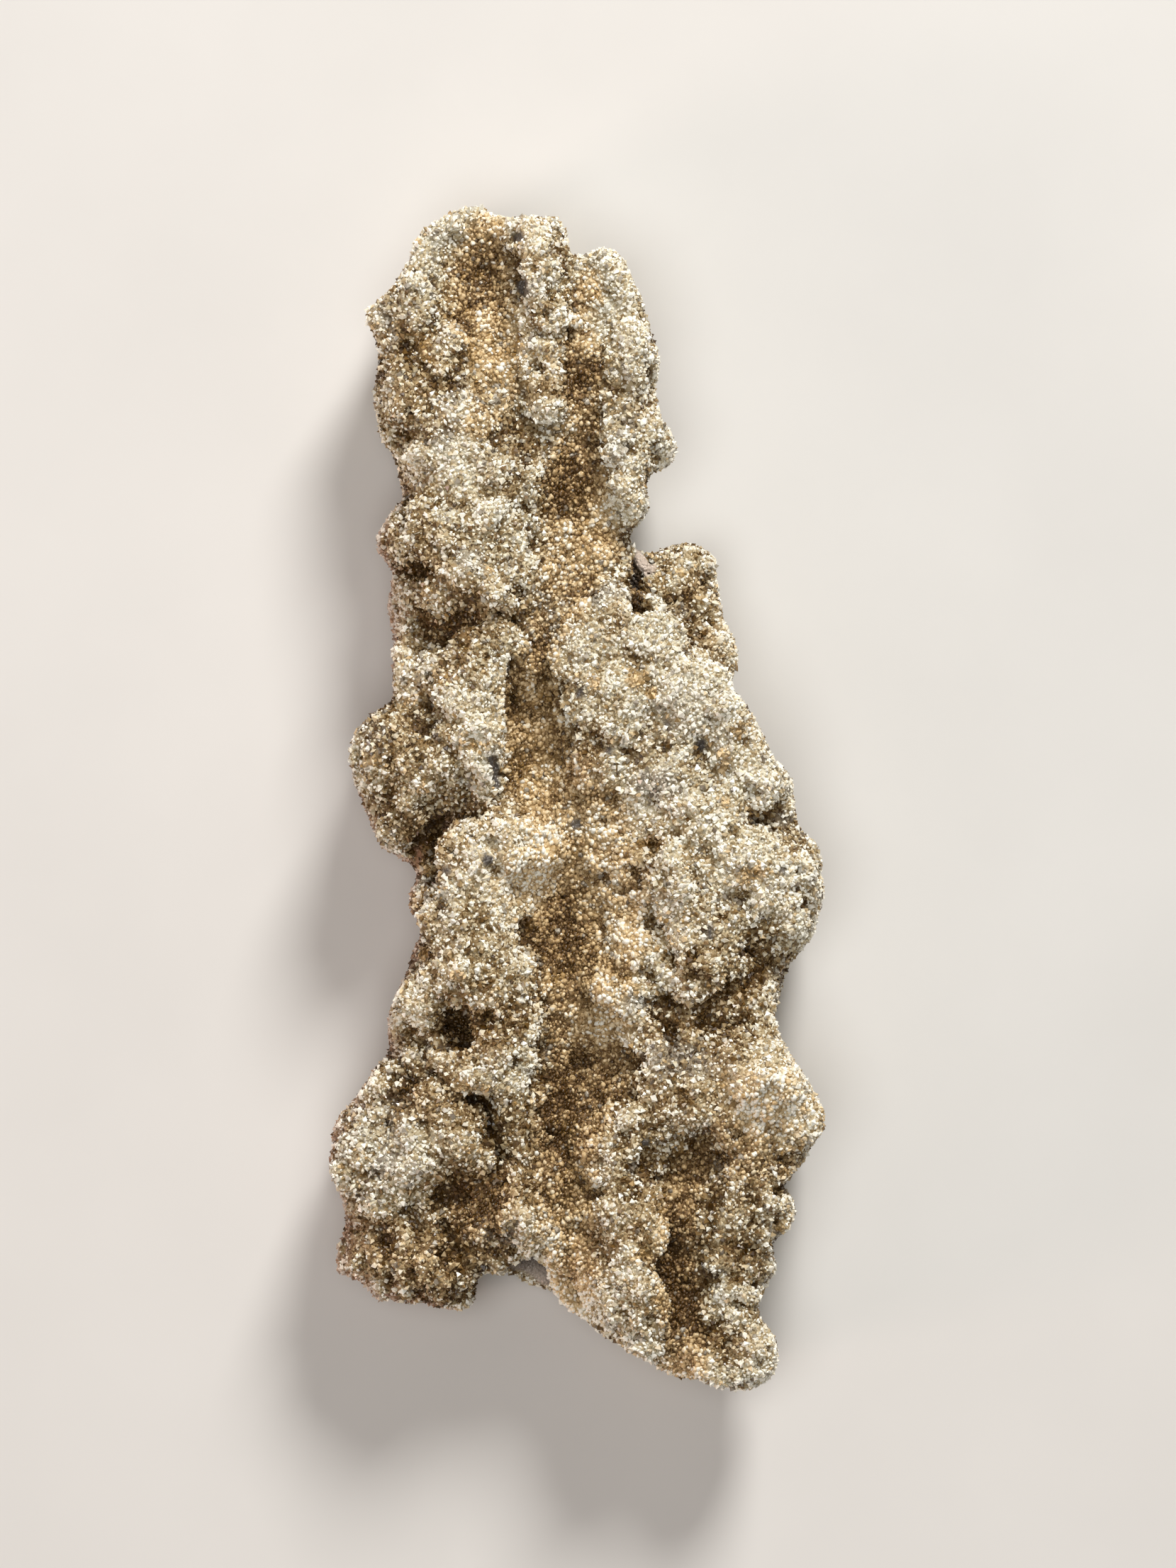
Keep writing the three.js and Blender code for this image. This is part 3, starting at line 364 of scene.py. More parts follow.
# Knobs that stand out from the flanks: [x, y, z, radius].
KNOBS = [
    (-4.4, 27.5, 4.6, 0.55), (-5.4, 27.4, 4.4, 0.45), (-0.9, 26.7, 4.5, 0.4), (3.4, 20.4, 5.0, 0.5),
    (3.2, 18.6, 4.6, 0.5), (6.2, 11.2, 3.6, 0.5), (7.1, 7.2, 4.0, 0.5), (-8.3, 8.4, 4.6, 0.6),
    (-8.4, 7.0, 4.4, 0.5), (-9.8, 3.2, 4.2, 0.5), (-10.1, 0.6, 4.0, 0.5), (-7.2, -7.2, 4.0, 0.4),
    (-9.0, -12.8, 4.2, 0.5), (-11.2, -15.8, 4.2, 0.5), (-11.2, -17.4, 4.0, 0.5), (-10.7, -19.6, 3.8, 0.4),
    (-11.2, -21.6, 2.6, 0.3), (-9.4, -23.5, 3.2, 0.4), (-8.2, -23.8, 3.4, 0.35), (-6.8, -23.8, 3.4, 0.4),
    (-5.5, -23.8, 3.4, 0.45), (9.7, 0.8, 4.4, 0.4), (10.9, -2.4, 4.4, 0.5), (11.2, -4.2, 4.4, 0.5),
    (10.8, -6.4, 4.2, 0.4), (9.7, -8.3, 4.0, 0.45), (10.5, -13.4, 4.2, 0.5), (10.2, -17.0, 4.0, 0.5),
    (9.6, -19.7, 4.0, 0.45), (-8.8, 12.2, 3.8, 0.7), (-8.4, 13.2, 3.9, 0.5), (8.9, -22.3, 4.0, 0.4),
    (8.7, -26.4, 3.8, 0.45), (8.4, -27.4, 3.6, 0.4),
]
for line in [*BROKEN_EDGES, LIP]:
    line = traced(line, 0.2)
    sculpt(line[:, :3], line[:, 3], width=0.2)
for line in SLITS:
    line = traced(line, 0.15)
    sculpt(line[:, :3], line[:, 3], width=0.1, sink=True)
sculpt(np.array(KNOBS)[:, :3], np.array(KNOBS)[:, 3], width=0.3)

# Seen from above, its edge keeps to the solid's, but for notches, and for the flanks' knobs and the edge over
# the lower mouth, which stand out: [x, y, radius, how far in, or out below 0].
DRAWN_IN = [
    (-7.8, 26.0, 1.6, 0.35), (1.8, 26.3, 1.2, 0.35), (3.2, 24.2, 1.5, 0.4), (3.6, 21.8, 1.2, 0.25),
    (-9.6, 23.6, 0.8, 0.4), (-9.9, 21.6, 0.8, 0.35), (-9.8, 18.4, 1.0, 0.3), (-9.4, 13.2, 1.2, 0.45),
    (5.1, 16.4, 0.7, 0.35), (3.5, 14.9, 0.8, 0.6), (5.0, 12.4, 1.5, 0.2), (7.5, 7.6, 1.0, 0.3),
    (8.7, 3.0, 1.9, 0.4), (10.4, -0.6, 1.2, 0.25), (9.4, -10.4, 1.5, 0.3), (11.3, -16.6, 0.6, 0.4),
    (11.2, -13.2, 0.9, 0.3), (9.5, -18.5, 0.6, 0.35), (9.3, -21.2, 0.7, 0.35), (8.6, -24.2, 1.0, 0.4),
    (5.6, -27.9, 0.8, 0.3), (-11.4, -18.2, 0.8, 0.2), (-8.7, -8.6, 1.4, 0.3), (-10.2, -13.2, 1.2, 0.2),
    (-9.8, 3.9, 1.2, 0.2), (0.1, 26.1, 0.6, 0.7), (-0.9, 26.9, 0.5, -0.25), (-10.1, 21.9, 0.5, 0.5),
    (-5.5, -23.8, 0.6, -0.35), (-4.4, -23.2, 0.6, 0.5), (-9.3, -23.4, 0.7, -0.3),
]
LET_OUT = [(x, y, 0.8, -0.2) for x, y, z, radius in KNOBS + MOUTH_EDGE[2:]]
INSET = 0.04  # drawn in this much all round
edge = plain.min(axis=2).ravel() + INSET
for x, y, radius, inward in DRAWN_IN + LET_OUT:
    edge = edge + inward * np.exp(-((columns[:, 0] - x) ** 2 + (columns[:, 1] - y) ** 2) / radius ** 2)
field = np.maximum(field, edge.reshape(one_layer))

# Within WALL of the bore no notch or slit breaks through, from COVER under the plain face inwards, or from
# MOUTH_COVER at the lower mouth. The underside ends on flats, on which the piece lies.
WALL = 0.8
COVER = 0.4
MOUTH_COVER = 1.4
MOUTH_START = -20.8  # the lower mouth lies beyond this y
across, carried = along(BORE, columns)
height, half_width, half_height = (column.reshape(one_layer) for column in carried.T)
reach = np.hypot(across.reshape(one_layer) / half_width, (heights - height) / half_height)
cover = np.where(columns[:, 1] > MOUTH_START, COVER, MOUTH_COVER).reshape(one_layer)
field = np.minimum(field, np.maximum(plain + cover, (reach - 1) * half_height - WALL))
HEADROOM = 0.2  # over the solid's top, where the crust ends
field = np.maximum(np.maximum(field, -heights), heights - top - HEADROOM).astype(np.float32)


def one_piece(points, triangles):
    """The surface without crumbs and bubbles that aren't joined to it."""
    label = np.arange(len(points))
    sides = np.concatenate([triangles[:, (0, 1)], triangles[:, (1, 2)]]).T
    while True:
        was = label.copy()
        least = np.minimum(label[sides[0]], label[sides[1]])
        for side in sides:
            np.minimum.at(label, side, least)
        label = label[label]
        if (label == was).all():
            break
    keep = label == np.bincount(label).argmax()
    return points[keep], (np.cumsum(keep) - 1)[triangles[keep[triangles[:, 0]]]]


points, triangles = one_piece(*surface(field, merged=0.15))
facing = slopes(field, points)

# What its colours follow: how far each place stands out or lies deep, which paints light on the crests and
# shade in the hollows, and patches of paler, ochre, glassy and sandy crust.
wide = blurred(np.clip(field, -1.2, 1.2), 0.4)
broad = blurred(np.clip(field, -1.8, 1.8), 1.0)
patches = 0.45 * waves(2.2, 31) + 0.6 * waves(0.9, 32) + 0.8 * waves(0.45, 37)
ochre = ramped(waves(1.0, 38) + 0.3 * waves(0.5, 39), 0.62, 0.85)
glazed = ramped(waves(2.6, 33) + 0.4 * waves(0.8, 34), 0.5, 0.8)
broken = 0.5 * waves(1.5, 35) + 0.3 * waves(0.6, 36)

# Where the crust is paler, partly clean and partly painted light, and where it is darker, partly brown dust
# and partly painted shade. The spots of 2.0 in the slit beside the stub are painted shade alone.
# Each is [x, y, radius, how much].
WASHED_AND_LIT = [
    (-6.2, 26.0, 1.4, 0.8), (1.0, 25.1, 1.4, 0.9), (0.9, 21.8, 1.4, 0.85), (-3.7, 20.8, 1.5, 0.9),
    (-3.0, 18.4, 1.0, 0.4), (-0.6, 17.8, 1.2, 0.5), (3.3, 16.6, 1.2, 0.2), (-5.7, 15.3, 2.3, 0.65),
    (1.7, 13.7, 0.9, 0.6), (-3.1, 13.1, 1.1, 0.8), (-5.9, 13.2, 0.9, 0.3), (-0.2, 11.4, 1.7, 0.45),
    (4.0, 10.3, 0.8, 0.35), (-8.7, 9.7, 0.9, 0.4), (-1.5, 9.0, 0.9, 0.7), (2.8, 8.0, 1.2, 0.4),
    (0.8, 6.4, 1.5, 0.85), (4.4, 4.8, 2.4, 1.05), (-8.1, 4.6, 1.0, 0.7), (2.6, 3.9, 1.0, 0.55),
    (-1.7, 3.9, 1.2, 0.3), (-4.7, 3.8, 1.5, 0.6), (7.4, 1.7, 1.3, 1.0), (2.3, 1.1, 1.0, 0.4),
    (-4.6, 0.9, 1.4, 0.5), (-1.2, 0.8, 0.9, 0.4), (-7.2, 0.5, 1.0, 0.4), (5.2, 0.0, 3.0, 0.5),
    (2.8, -1.2, 1.3, 0.65), (-0.9, -2.2, 1.8, 0.55), (6.2, -3.2, 1.4, 0.65), (-3.8, -3.4, 1.9, 0.6),
    (8.5, -3.5, 2.2, 0.5), (1.7, -3.6, 1.0, 0.3), (-2.3, -3.8, 1.4, 0.95), (10.5, -5.8, 1.3, 0.5),
    (1.1, -6.1, 1.2, 0.55), (4.0, -6.1, 1.6, 0.8), (-4.7, -6.2, 0.8, 0.3), (-2.5, -6.2, 0.9, 0.5),
    (3.6, -8.2, 1.0, 0.5), (-0.1, -10.7, 1.1, 0.6), (1.8, -10.8, 1.2, 0.6), (-7.8, -11.1, 1.3, 0.4),
    (-2.4, -12.7, 0.9, 0.4), (-4.6, -12.9, 1.6, 0.3), (8.7, -14.1, 2.2, 1.5), (5.1, -16.2, 1.0, 0.45),
    (-8.4, -16.4, 1.7, 0.85), (-7.2, -19.6, 1.0, 0.5), (2.4, -22.4, 1.5, 0.3), (6.5, -23.7, 1.2, 0.7),
    (0.4, -23.7, 1.0, 0.4), (-0.8, -20.8, 0.9, 0.4),
]
DUSTY_AND_SHADED = [
    (-4.6, 25.1, 1.3, 0.7), (-1.5, 25.0, 1.0, 0.4), (-1.2, 23.0, 0.8, 0.4), (-7.3, 22.8, 1.2, 0.25),
    (-5.3, 21.9, 1.0, 0.35), (-8.6, 20.2, 1.1, 0.45), (-5.5, 20.1, 0.9, 0.35), (1.1, 19.7, 1.1, 0.3),
    (-1.1, 19.1, 1.0, 0.85), (-7.9, 17.9, 1.4, 0.5), (-3.5, 16.5, 1.3, 0.65), (-0.4, 15.0, 1.4, 0.6),
    (-0.9, 13.3, 1.3, 0.4), (5.2, 11.0, 1.0, 0.3), (-7.4, 10.9, 1.0, 0.7), (2.65, 10.9, 0.2, 2.0),
    (2.75, 10.3, 0.3, 2.0), (5.1, 9.8, 0.5, 0.4), (2.85, 9.5, 0.35, 2.0), (0.5, 9.1, 0.9, 0.4),
    (2.9, 8.9, 0.35, 2.0), (-5.4, 8.5, 1.4, 0.6), (-1.8, 6.8, 0.8, 0.45), (-3.0, 4.5, 0.8, 0.4),
    (-8.9, 2.9, 1.5, 0.9), (0.5, 2.2, 1.0, 0.4), (0.5, 0.0, 1.0, 0.4), (-8.6, -0.8, 1.2, 0.4),
    (-3.5, -1.2, 0.9, 0.4), (-6.8, -2.2, 1.3, 0.8), (-0.4, -6.2, 1.7, 0.8), (7.7, -7.7, 1.5, 0.5),
    (5.4, -7.9, 1.0, 0.5), (0.7, -9.0, 1.0, 0.3), (-3.0, -10.4, 1.0, 0.5), (-5.4, -10.8, 1.1, 1.0),
    (-4.1, -11.6, 0.9, 0.4), (4.3, -12.0, 1.4, 0.5), (-5.8, -12.2, 0.9, 0.4), (7.4, -12.2, 1.0, 0.5),
    (-0.2, -13.0, 1.7, 0.55), (4.5, -13.9, 1.0, 0.4), (-5.2, -14.2, 1.2, 0.4), (-7.6, -14.3, 1.3, 0.85),
    (2.8, -15.1, 1.0, 0.45), (-1.5, -15.1, 1.4, 0.65), (7.2, -15.2, 0.9, 0.45), (-3.9, -15.5, 0.9, 0.3),
    (-11.0, -15.6, 1.0, 0.5), (7.9, -17.1, 1.5, 0.8), (-7.1, -17.4, 0.8, 0.3), (-2.4, -18.4, 1.1, 0.5),
    (2.2, -18.5, 0.9, 0.35), (-4.7, -19.2, 1.7, 1.3), (4.5, -19.7, 0.9, 0.5), (-9.3, -21.3, 1.7, 0.5),
    (7.4, -21.4, 1.4, 0.4), (3.8, -21.8, 1.2, 0.75), (-0.2, -21.8, 1.0, 0.3), (-6.3, -22.4, 2.3, 0.75),
    (5.1, -24.0, 1.6, 0.7), (0.5, -16.3, 0.9, 0.5), (-7.6, -5.4, 0.9, 0.45),
]
# Where grey glass shows between the grains, or below 0 where more sand covers it: [x, y, radius, how grey].
GREYED = [
    (-9.8, 3.1, 1.6, 0.6), (-7.1, 5.7, 1.2, 0.5), (-1.7, 8.1, 1.0, 0.5), (-10.7, -16.6, 2.2, 0.55),
    (-8.8, -15.2, 1.6, 0.4), (-8.3, 23.8, 1.3, 0.5), (4.2, 16.7, 1.2, 0.5), (5.0, 4.0, 1.7, 0.65),
    (-4.5, 16.8, 1.4, 0.4), (8.9, -14.4, 2.4, -1.5), (-7.5, -5.4, 1.0, -0.6), (7.9, 3.4, 1.0, -0.5),
    (6.2, -3.4, 1.2, -0.5), (7.4, -15.9, 1.2, -0.5), (-2.2, -3.6, 2.0, -1.5), (-2.0, 4.3, 1.2, -0.5),
    (-6.1, -10.7, 0.9, -0.5), (-6.4, -0.7, 1.0, -0.5),
]
# Loose sand that lies over the main furrow's right side: [x, y, half width] along it.
LOOSE_SAND = [
    (0.2, 1.0, 1.1), (1.3, -1.4, 1.4), (1.9, -4.0, 1.4), (2.3, -6.6, 1.1), (1.6, -8.8, 1.0),
]
# Small dark places, uncovered glass in some and painted shade on the floors of small pits in others: [x, y,
# radius].
DARK_SPOTS = [
    (-3.95, 1.8, 0.2), (-3.85, 1.4, 0.22), (-3.8, 1.0, 0.25), (-3.75, 0.6, 0.22), (-0.1, -1.2, 0.28),
    (-2.75, 26.3, 0.28), (-2.6, 24.1, 0.25), (-2.55, 23.7, 0.2), (-4.2, -2.9, 0.3), (-6.1, -3.4, 0.25),
    (0.1, 4.9, 0.25), (1.5, 2.2, 0.2), (4.2, 3.5, 0.25), (5.8, 2.5, 0.25), (9.6, -3.4, 0.25),
    (6.2, -6.4, 0.25), (3.2, -16.2, 0.2),
]
# Ochre stains: [x, y, radius, how strong].
STAINED = [
    (-1.3, 20.6, 0.25, 1.0), (2.8, 5.6, 0.4, 1.0), (3.5, 4.8, 0.35, 0.9), (7.5, 3.0, 0.35, 0.9),
    (-6.6, 5.6, 0.4, 0.6), (3.6, -18.8, 0.4, 0.6), (-3.9, 20.8, 1.3, 0.55), (-2.0, 1.4, 1.4, 0.5),
    (-2.1, 4.4, 1.3, 0.5), (0.4, 13.2, 1.3, 0.25), (-0.3, -18.5, 1.2, 0.25), (4.2, -6.0, 1.4, 0.25),
    (-4.1, -18.9, 0.7, 0.4),
]


def on_wall(points, facing):
    """Whether each point is on the bore's own wall, and not on the crust close over it."""
    return in_bore(points) * (1 - ramped(facing[:, 2], -0.2, 0.2) * (points[:, 2] > 4.0))


def seasoned(points, facing):
    """How sandy, pale, glassy, rusty and darkly spotted the crust is at each point, how much painted pink
    reflected light it takes, and whether it is the bore's own wall."""
    ragged = 1 + 0.5 * sampled(broken, points)
    upper = ramped(points[:, 2], 1.2, 2.8)

    def away(x, y, radius):
        """How many of its own radii each point is away from a spot with a ragged edge."""
        return np.hypot(points[:, 0] - x, points[:, 1] - y) * ragged / radius

    sunk = in_furrow(points, facing)
    furrow = 0.85 * sunk + 0.6 * sampled(broken, points) + 0.12
    # Crests are painted paler and hollows darker: painted light and painted shade.
    bend = sampled(wide, points) / 0.4 + sampled(broad, points) / 0.7
    pale = 0.02 + 0.66 * bend + (0.54 - 0.24 * sunk) * sampled(patches, points)
    # The paler spots are partly clean crust and partly painted light; the darker ones partly brown dust and
    # partly painted shade.
    for spots, side in ((WASHED_AND_LIT, 1), (DUSTY_AND_SHADED, -1)):
        for x, y, radius, amount in spots:
            change = side * amount * np.exp(-away(x, y, radius) ** 2) * upper
            pale = pale + 1.15 * change
            furrow = furrow - 0.45 * change
    grey = np.zeros(len(points))
    for x, y, radius, amount in GREYED:
        grey = grey + amount * np.exp(-away(x, y, radius) ** 2) * upper
    distance, width = along(LOOSE_SAND, points)
    loose = (1 - ramped(distance * ragged / width[:, 0], 0.5, 1.4)) * ramped(points[:, 2], 4.0, 5.0)
    furrow = np.clip(np.maximum(furrow, 0.85 * loose) - 0.6 * grey, 0, 1)
    glassy = np.clip(sampled(glazed, points) + 0.6 * grey, 0, 1) * (1 - furrow)
    # Dark spots: uncovered glass, and painted shade on the floors of small pits.
    bare = np.zeros(len(points))
    for x, y, radius in DARK_SPOTS:
        bare = np.maximum(bare, 1 - ramped(away(x, y, radius), 0.8, 1.2))
    rusty = sampled(ochre, points) * (1 - glassy)
    for x, y, radius, amount in STAINED:
        rusty = np.maximum(rusty, amount * (1 - ramped(away(x, y, radius), 0.7, 1.3)))
    bore = on_wall(points, facing)
    for x, y, z, radius in traced(LIP, 0.25):
        gap = np.linalg.norm(points - (x, y, z), axis=1) - radius
        bore = np.maximum(bore, 1 - ramped(gap, 0.2, 0.35))
        pale = np.where(gap < 0.35, 1.0, pale)
    # Painted pink reflected light on the flanks that face left and down, low on the left side.
    blush = ramped(-facing[:, 0] - 0.4 * facing[:, 1], 0.2, 0.7) * ramped(-points[:, 2], -7.2, -5.2)
    blush = blush * ramped(-points[:, 0], 3.0, 6.0) * ramped(16 - points[:, 1], 0.0, 3.0)
    return {"furrow": furrow, "pale": np.clip(pale, -1, 1), "glassy": glassy, "rusty": rusty, "bore": bore,
            "bare": bare, "blush": blush}


def piece(name, points, polygons, smooth=True):
    """A mesh object from points in mm and rows of corner numbers."""
    mesh = bpy.data.meshes.new(name)
    mesh.vertices.add(len(points))
    mesh.vertices.foreach_set("co", (points * MM).astype(np.float32).ravel())
    count, corners = polygons.shape
    mesh.loops.add(count * corners)
    mesh.loops.foreach_set("vertex_index", polygons.astype(np.int32).ravel())
    mesh.polygons.add(count)
    mesh.polygons.foreach_set("loop_start", np.arange(0, count * corners, corners, dtype=np.int32))
    mesh.polygons.foreach_set("use_smooth", np.full(count, smooth))
    mesh.update(calc_edges=True)
    made = bpy.data.objects.new(name, mesh)
    bpy.context.collection.objects.link(made)
    return made


def paint(made, domain, **layers):
    """Keeps a number for each point or face of a mesh, for its material to read."""
    for name, values in layers.items():
        layer = made.data.attributes.new(name, "FLOAT", domain)
        layer.data.foreach_set("value", values.astype(np.float32))


class Sock:
    """A socket of a shader node, on which plain sums can be written."""

    def __init__(self, tree, socket):
        self.tree, self.socket = tree, socket

    def node(self, kind, settings=None, sockets=None, out=0):
        """A new node of this kind, with its settings and its sockets' values or links: one of its outputs."""
        made = self.tree.nodes.new(kind)
        for name, value in (settings or {}).items():
            if name == "stops":
                ramp = made.color_ramp
                while len(ramp.elements) < len(value):
                    ramp.elements.new(0.5)
                for element, (position, colour) in zip(ramp.elements, value):
                    element.position = position
                    element.color = (*colour, 1)
            else:
                setattr(made, name, value)
        for name, value in (sockets or {}).items():
            if isinstance(value, Sock):
                self.tree.links.new(value.socket, made.inputs[name])
            else:
                made.inputs[name].default_value = value
        return Sock(self.tree, made.outputs[out])

    def sum(self, operation, first, second):
        return self.node("ShaderNodeMath", {"operation": operation}, {0: first, 1: second})

    def __add__(self, other):
        return self.sum("ADD", self, other)

    def __radd__(self, other):
        return self.sum("ADD", other, self)

    def __sub__(self, other):
        return self.sum("SUBTRACT", self, other)

    def __rsub__(self, other):
        return self.sum("SUBTRACT", other, self)

    def __mul__(self, other):
        return self.sum("MULTIPLY", self, other)

    def __rmul__(self, other):
        return self.sum("MULTIPLY", other, self)

    def clipped(self, start, stop):
        """0 at start, 1 at stop, and held between them."""
        return self.node("ShaderNodeMapRange", {"interpolation_type": "SMOOTHSTEP"},
                         {"Value": self, "From Min": start, "From Max": stop})

    def blend(self, base, over):
        """base where this is 0 and over where it is 1, both colours."""
        base, over = (value if isinstance(value, Sock) else (*value, 1) for value in (base, over))
        return self.node("ShaderNodeMix", {"data_type": "RGBA"}, {0: self, 6: base, 7: over}, out=2)

    def through(self, *stops):
        """The colour that this stands for, between stops of [amount, colour]."""
        return self.node("ShaderNodeValToRGB", {"stops": stops}, {"Fac": self})

    def kept(self, name):
        """A number that paint() kept on the mesh."""
        return self.node("ShaderNodeAttribute", {"attribute_name": name}, out=2)


def finish(name, **fixed):
    """A material with the shader's fixed values set, and a start for its nodes."""
    material = bpy.data.materials.new(name)
    material.use_nodes = True
    shader = material.node_tree.nodes["Principled BSDF"]
    for label, value in fixed.items():
        shader.inputs[label.replace("_", " ")].default_value = value
    return material, shader, Sock(material.node_tree, None)


def wire(shader, **links):
    """Links what varies over the surface to the shader."""
    for label, value in links.items():
        value.tree.links.new(value.socket, shader.inputs[label.replace("_", " ")])


# Sand colours, from bleached quartz to iron-stained grains, and those of the glass.
QUARTZ = (0.87, 0.82, 0.66)
CREAM = (0.61, 0.525, 0.35)
TAN = (0.33, 0.238, 0.115)
BROWN = (0.155, 0.084, 0.022)
UMBER = (0.06, 0.027, 0.003)
PEACH = (0.88, 0.69, 0.415)
STRAW = (0.565, 0.395, 0.19)
EARTH = (0.21, 0.12, 0.045)
OCHRE = (0.40, 0.25, 0.09)
# The pink of painted reflected light on the low left flanks.
REFLECTED_PINK = (0.36, 0.20, 0.125)
LILAC = (0.30, 0.26, 0.20)
SLATE = (0.125, 0.11, 0.098)
# Dark grey glass; in the bore and in the slit beside the stub it stands for painted shade.
GLASS_IN_SHADE = (0.085, 0.065, 0.05)
LIP_PINK = (0.60, 0.50, 0.42)

SPECKS = 6500.0  # to the metre, as in fine sand
crust_finish, shader, start = finish("fused_sand_crust", IOR=1.46)
place = start.node("ShaderNodeTexCoord", out=3)
specks = start.node("ShaderNodeTexVoronoi", {"voronoi_dimensions": "3D"},
                    {"Vector": place, "Scale": SPECKS, "Randomness": 1.0})
speck_colour = Sock(specks.tree, specks.socket.node.outputs["Color"])
tone = start.node("ShaderNodeSeparateColor", {}, {"Color": speck_colour})
pale = start.kept("pale")
# Pale carries painted light on crests and painted shade in hollows, and lit takes it into the crust's colour.
lit = tone * 0.55 + pale * 0.4 + 0.1
clean = lit.through((0.0, UMBER), (0.25, BROWN), (0.5, TAN), (0.75, CREAM), (1.0, QUARTZ))
sandy = lit.through((0.0, UMBER), (0.3, EARTH), (0.65, STRAW), (1.0, PEACH))
glassy = start.kept("glassy")
bare = start.kept("bare")
inner = start.kept("bore")
colour = start.kept("furrow").blend(clean, sandy)
colour = (start.kept("rusty") * 0.7).blend(colour, OCHRE)
colour = (glassy * 0.7).blend(colour, LILAC)
# Painted pink reflected light on the low left flanks.
colour = (start.kept("blush") * 0.6).blend(colour, REFLECTED_PINK)
# Dark spots: uncovered glass, and painted shade on the floors of small pits.
colour = bare.blend(colour, SLATE)
# In the bore, dark glass where pale is low, painted shade in the bore and the slit, and the lip's pink where
# pale is high.
colour = inner.blend(colour, pale.clipped(-0.3, 0.9).blend(GLASS_IN_SHADE, LIP_PINK))
roughness = 0.45 + 0.35 * tone
roughness = roughness - glassy * 0.3
roughness = roughness * (1 - bare) + 0.2 * bare
roughness = roughness * (1 - inner) + 0.22 * inner
bump = start.node("ShaderNodeBump", {"invert": True},
                  {"Height": specks, "Distance": 0.00015, "Strength": 0.8})
wire(shader, Base_Color=colour, Roughness=roughness, Normal=bump)

crust = piece("fulgurite_crust", points, triangles)
paint(crust, "POINT", **seasoned(points, facing))
crust.data.materials.append(crust_finish)
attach(crust, "root")
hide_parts("fulgurite")

# ---- The sand grains --------------------------------------------------------------------------------------
# Grains of quartz sand, half sunk in the glass that welds them: worn round ones loose in the furrows, and
# sharper ones, whose faces glint, all over the knobs. Each grain is its own small solid.
GRAIN_SPACING = 0.16
GRAIN_TRIES = 420000
MOST_SAND = 9300  # so that each mesh stays under its share of triangles
MOST_SHARP = 78000
BANDS = 4  # meshes that the sharp grains are shared among
GRAIN_FLOOR = 0.01  # no grain reaches lower than this
GRAIN_HEADROOM = 0.26  # nor higher than this over the solid's top
WHITE = (0.98, 0.96, 0.86)
PEARL = (0.75, 0.70, 0.59)
GOLDEN = (1 + 5 ** 0.5) / 2
ROUND_POINTS = np.array([
    (-1, GOLDEN, 0), (1, GOLDEN, 0), (-1, -GOLDEN, 0), (1, -GOLDEN, 0), (0, -1, GOLDEN), (0, 1, GOLDEN),
    (0, -1, -GOLDEN), (0, 1, -GOLDEN), (GOLDEN, 0, -1), (GOLDEN, 0, 1), (-GOLDEN, 0, -1), (-GOLDEN, 0, 1),
]) / math.hypot(1, GOLDEN)
ROUND_SIDES = np.array([
    (0, 11, 5), (0, 5, 1), (0, 1, 7), (0, 7, 10), (0, 10, 11), (1, 5, 9), (5, 11, 4), (11, 10, 2), (10, 7, 6),
    (7, 1, 8), (3, 9, 4), (3, 4, 2), (3, 2, 6), (3, 6, 8), (3, 8, 9), (4, 9, 5), (2, 4, 11), (6, 2, 10),
    (8, 6, 7), (9, 8, 1)])
SHARP_POINTS = np.array([(1, 0, 0), (0, 1, 0), (-1, 0, 0), (0, -1, 0), (0, 0, 1), (0, 0, -1)], float)
SHARP_SIDES = np.array([
    (0, 1, 4), (1, 2, 4), (2, 3, 4), (3, 0, 4), (1, 0, 5), (2, 1, 5), (3, 2, 5), (0, 3, 5)])


def turned(count):
    """Random rotations, a matrix for each."""
    q = rng.normal(size=(count, 4))
    w, x, y, z = (q / np.linalg.norm(q, axis=1, keepdims=True)).T
    return np.stack([
        1 - 2 * (y * y + z * z), 2 * (x * y - z * w), 2 * (x * z + y * w),
        2 * (x * y + z * w), 1 - 2 * (x * x + z * z), 2 * (y * z - x * w),
        2 * (x * z - y * w), 2 * (y * z + x * w), 1 - 2 * (x * x + y * y)], axis=1).reshape(-1, 3, 3)


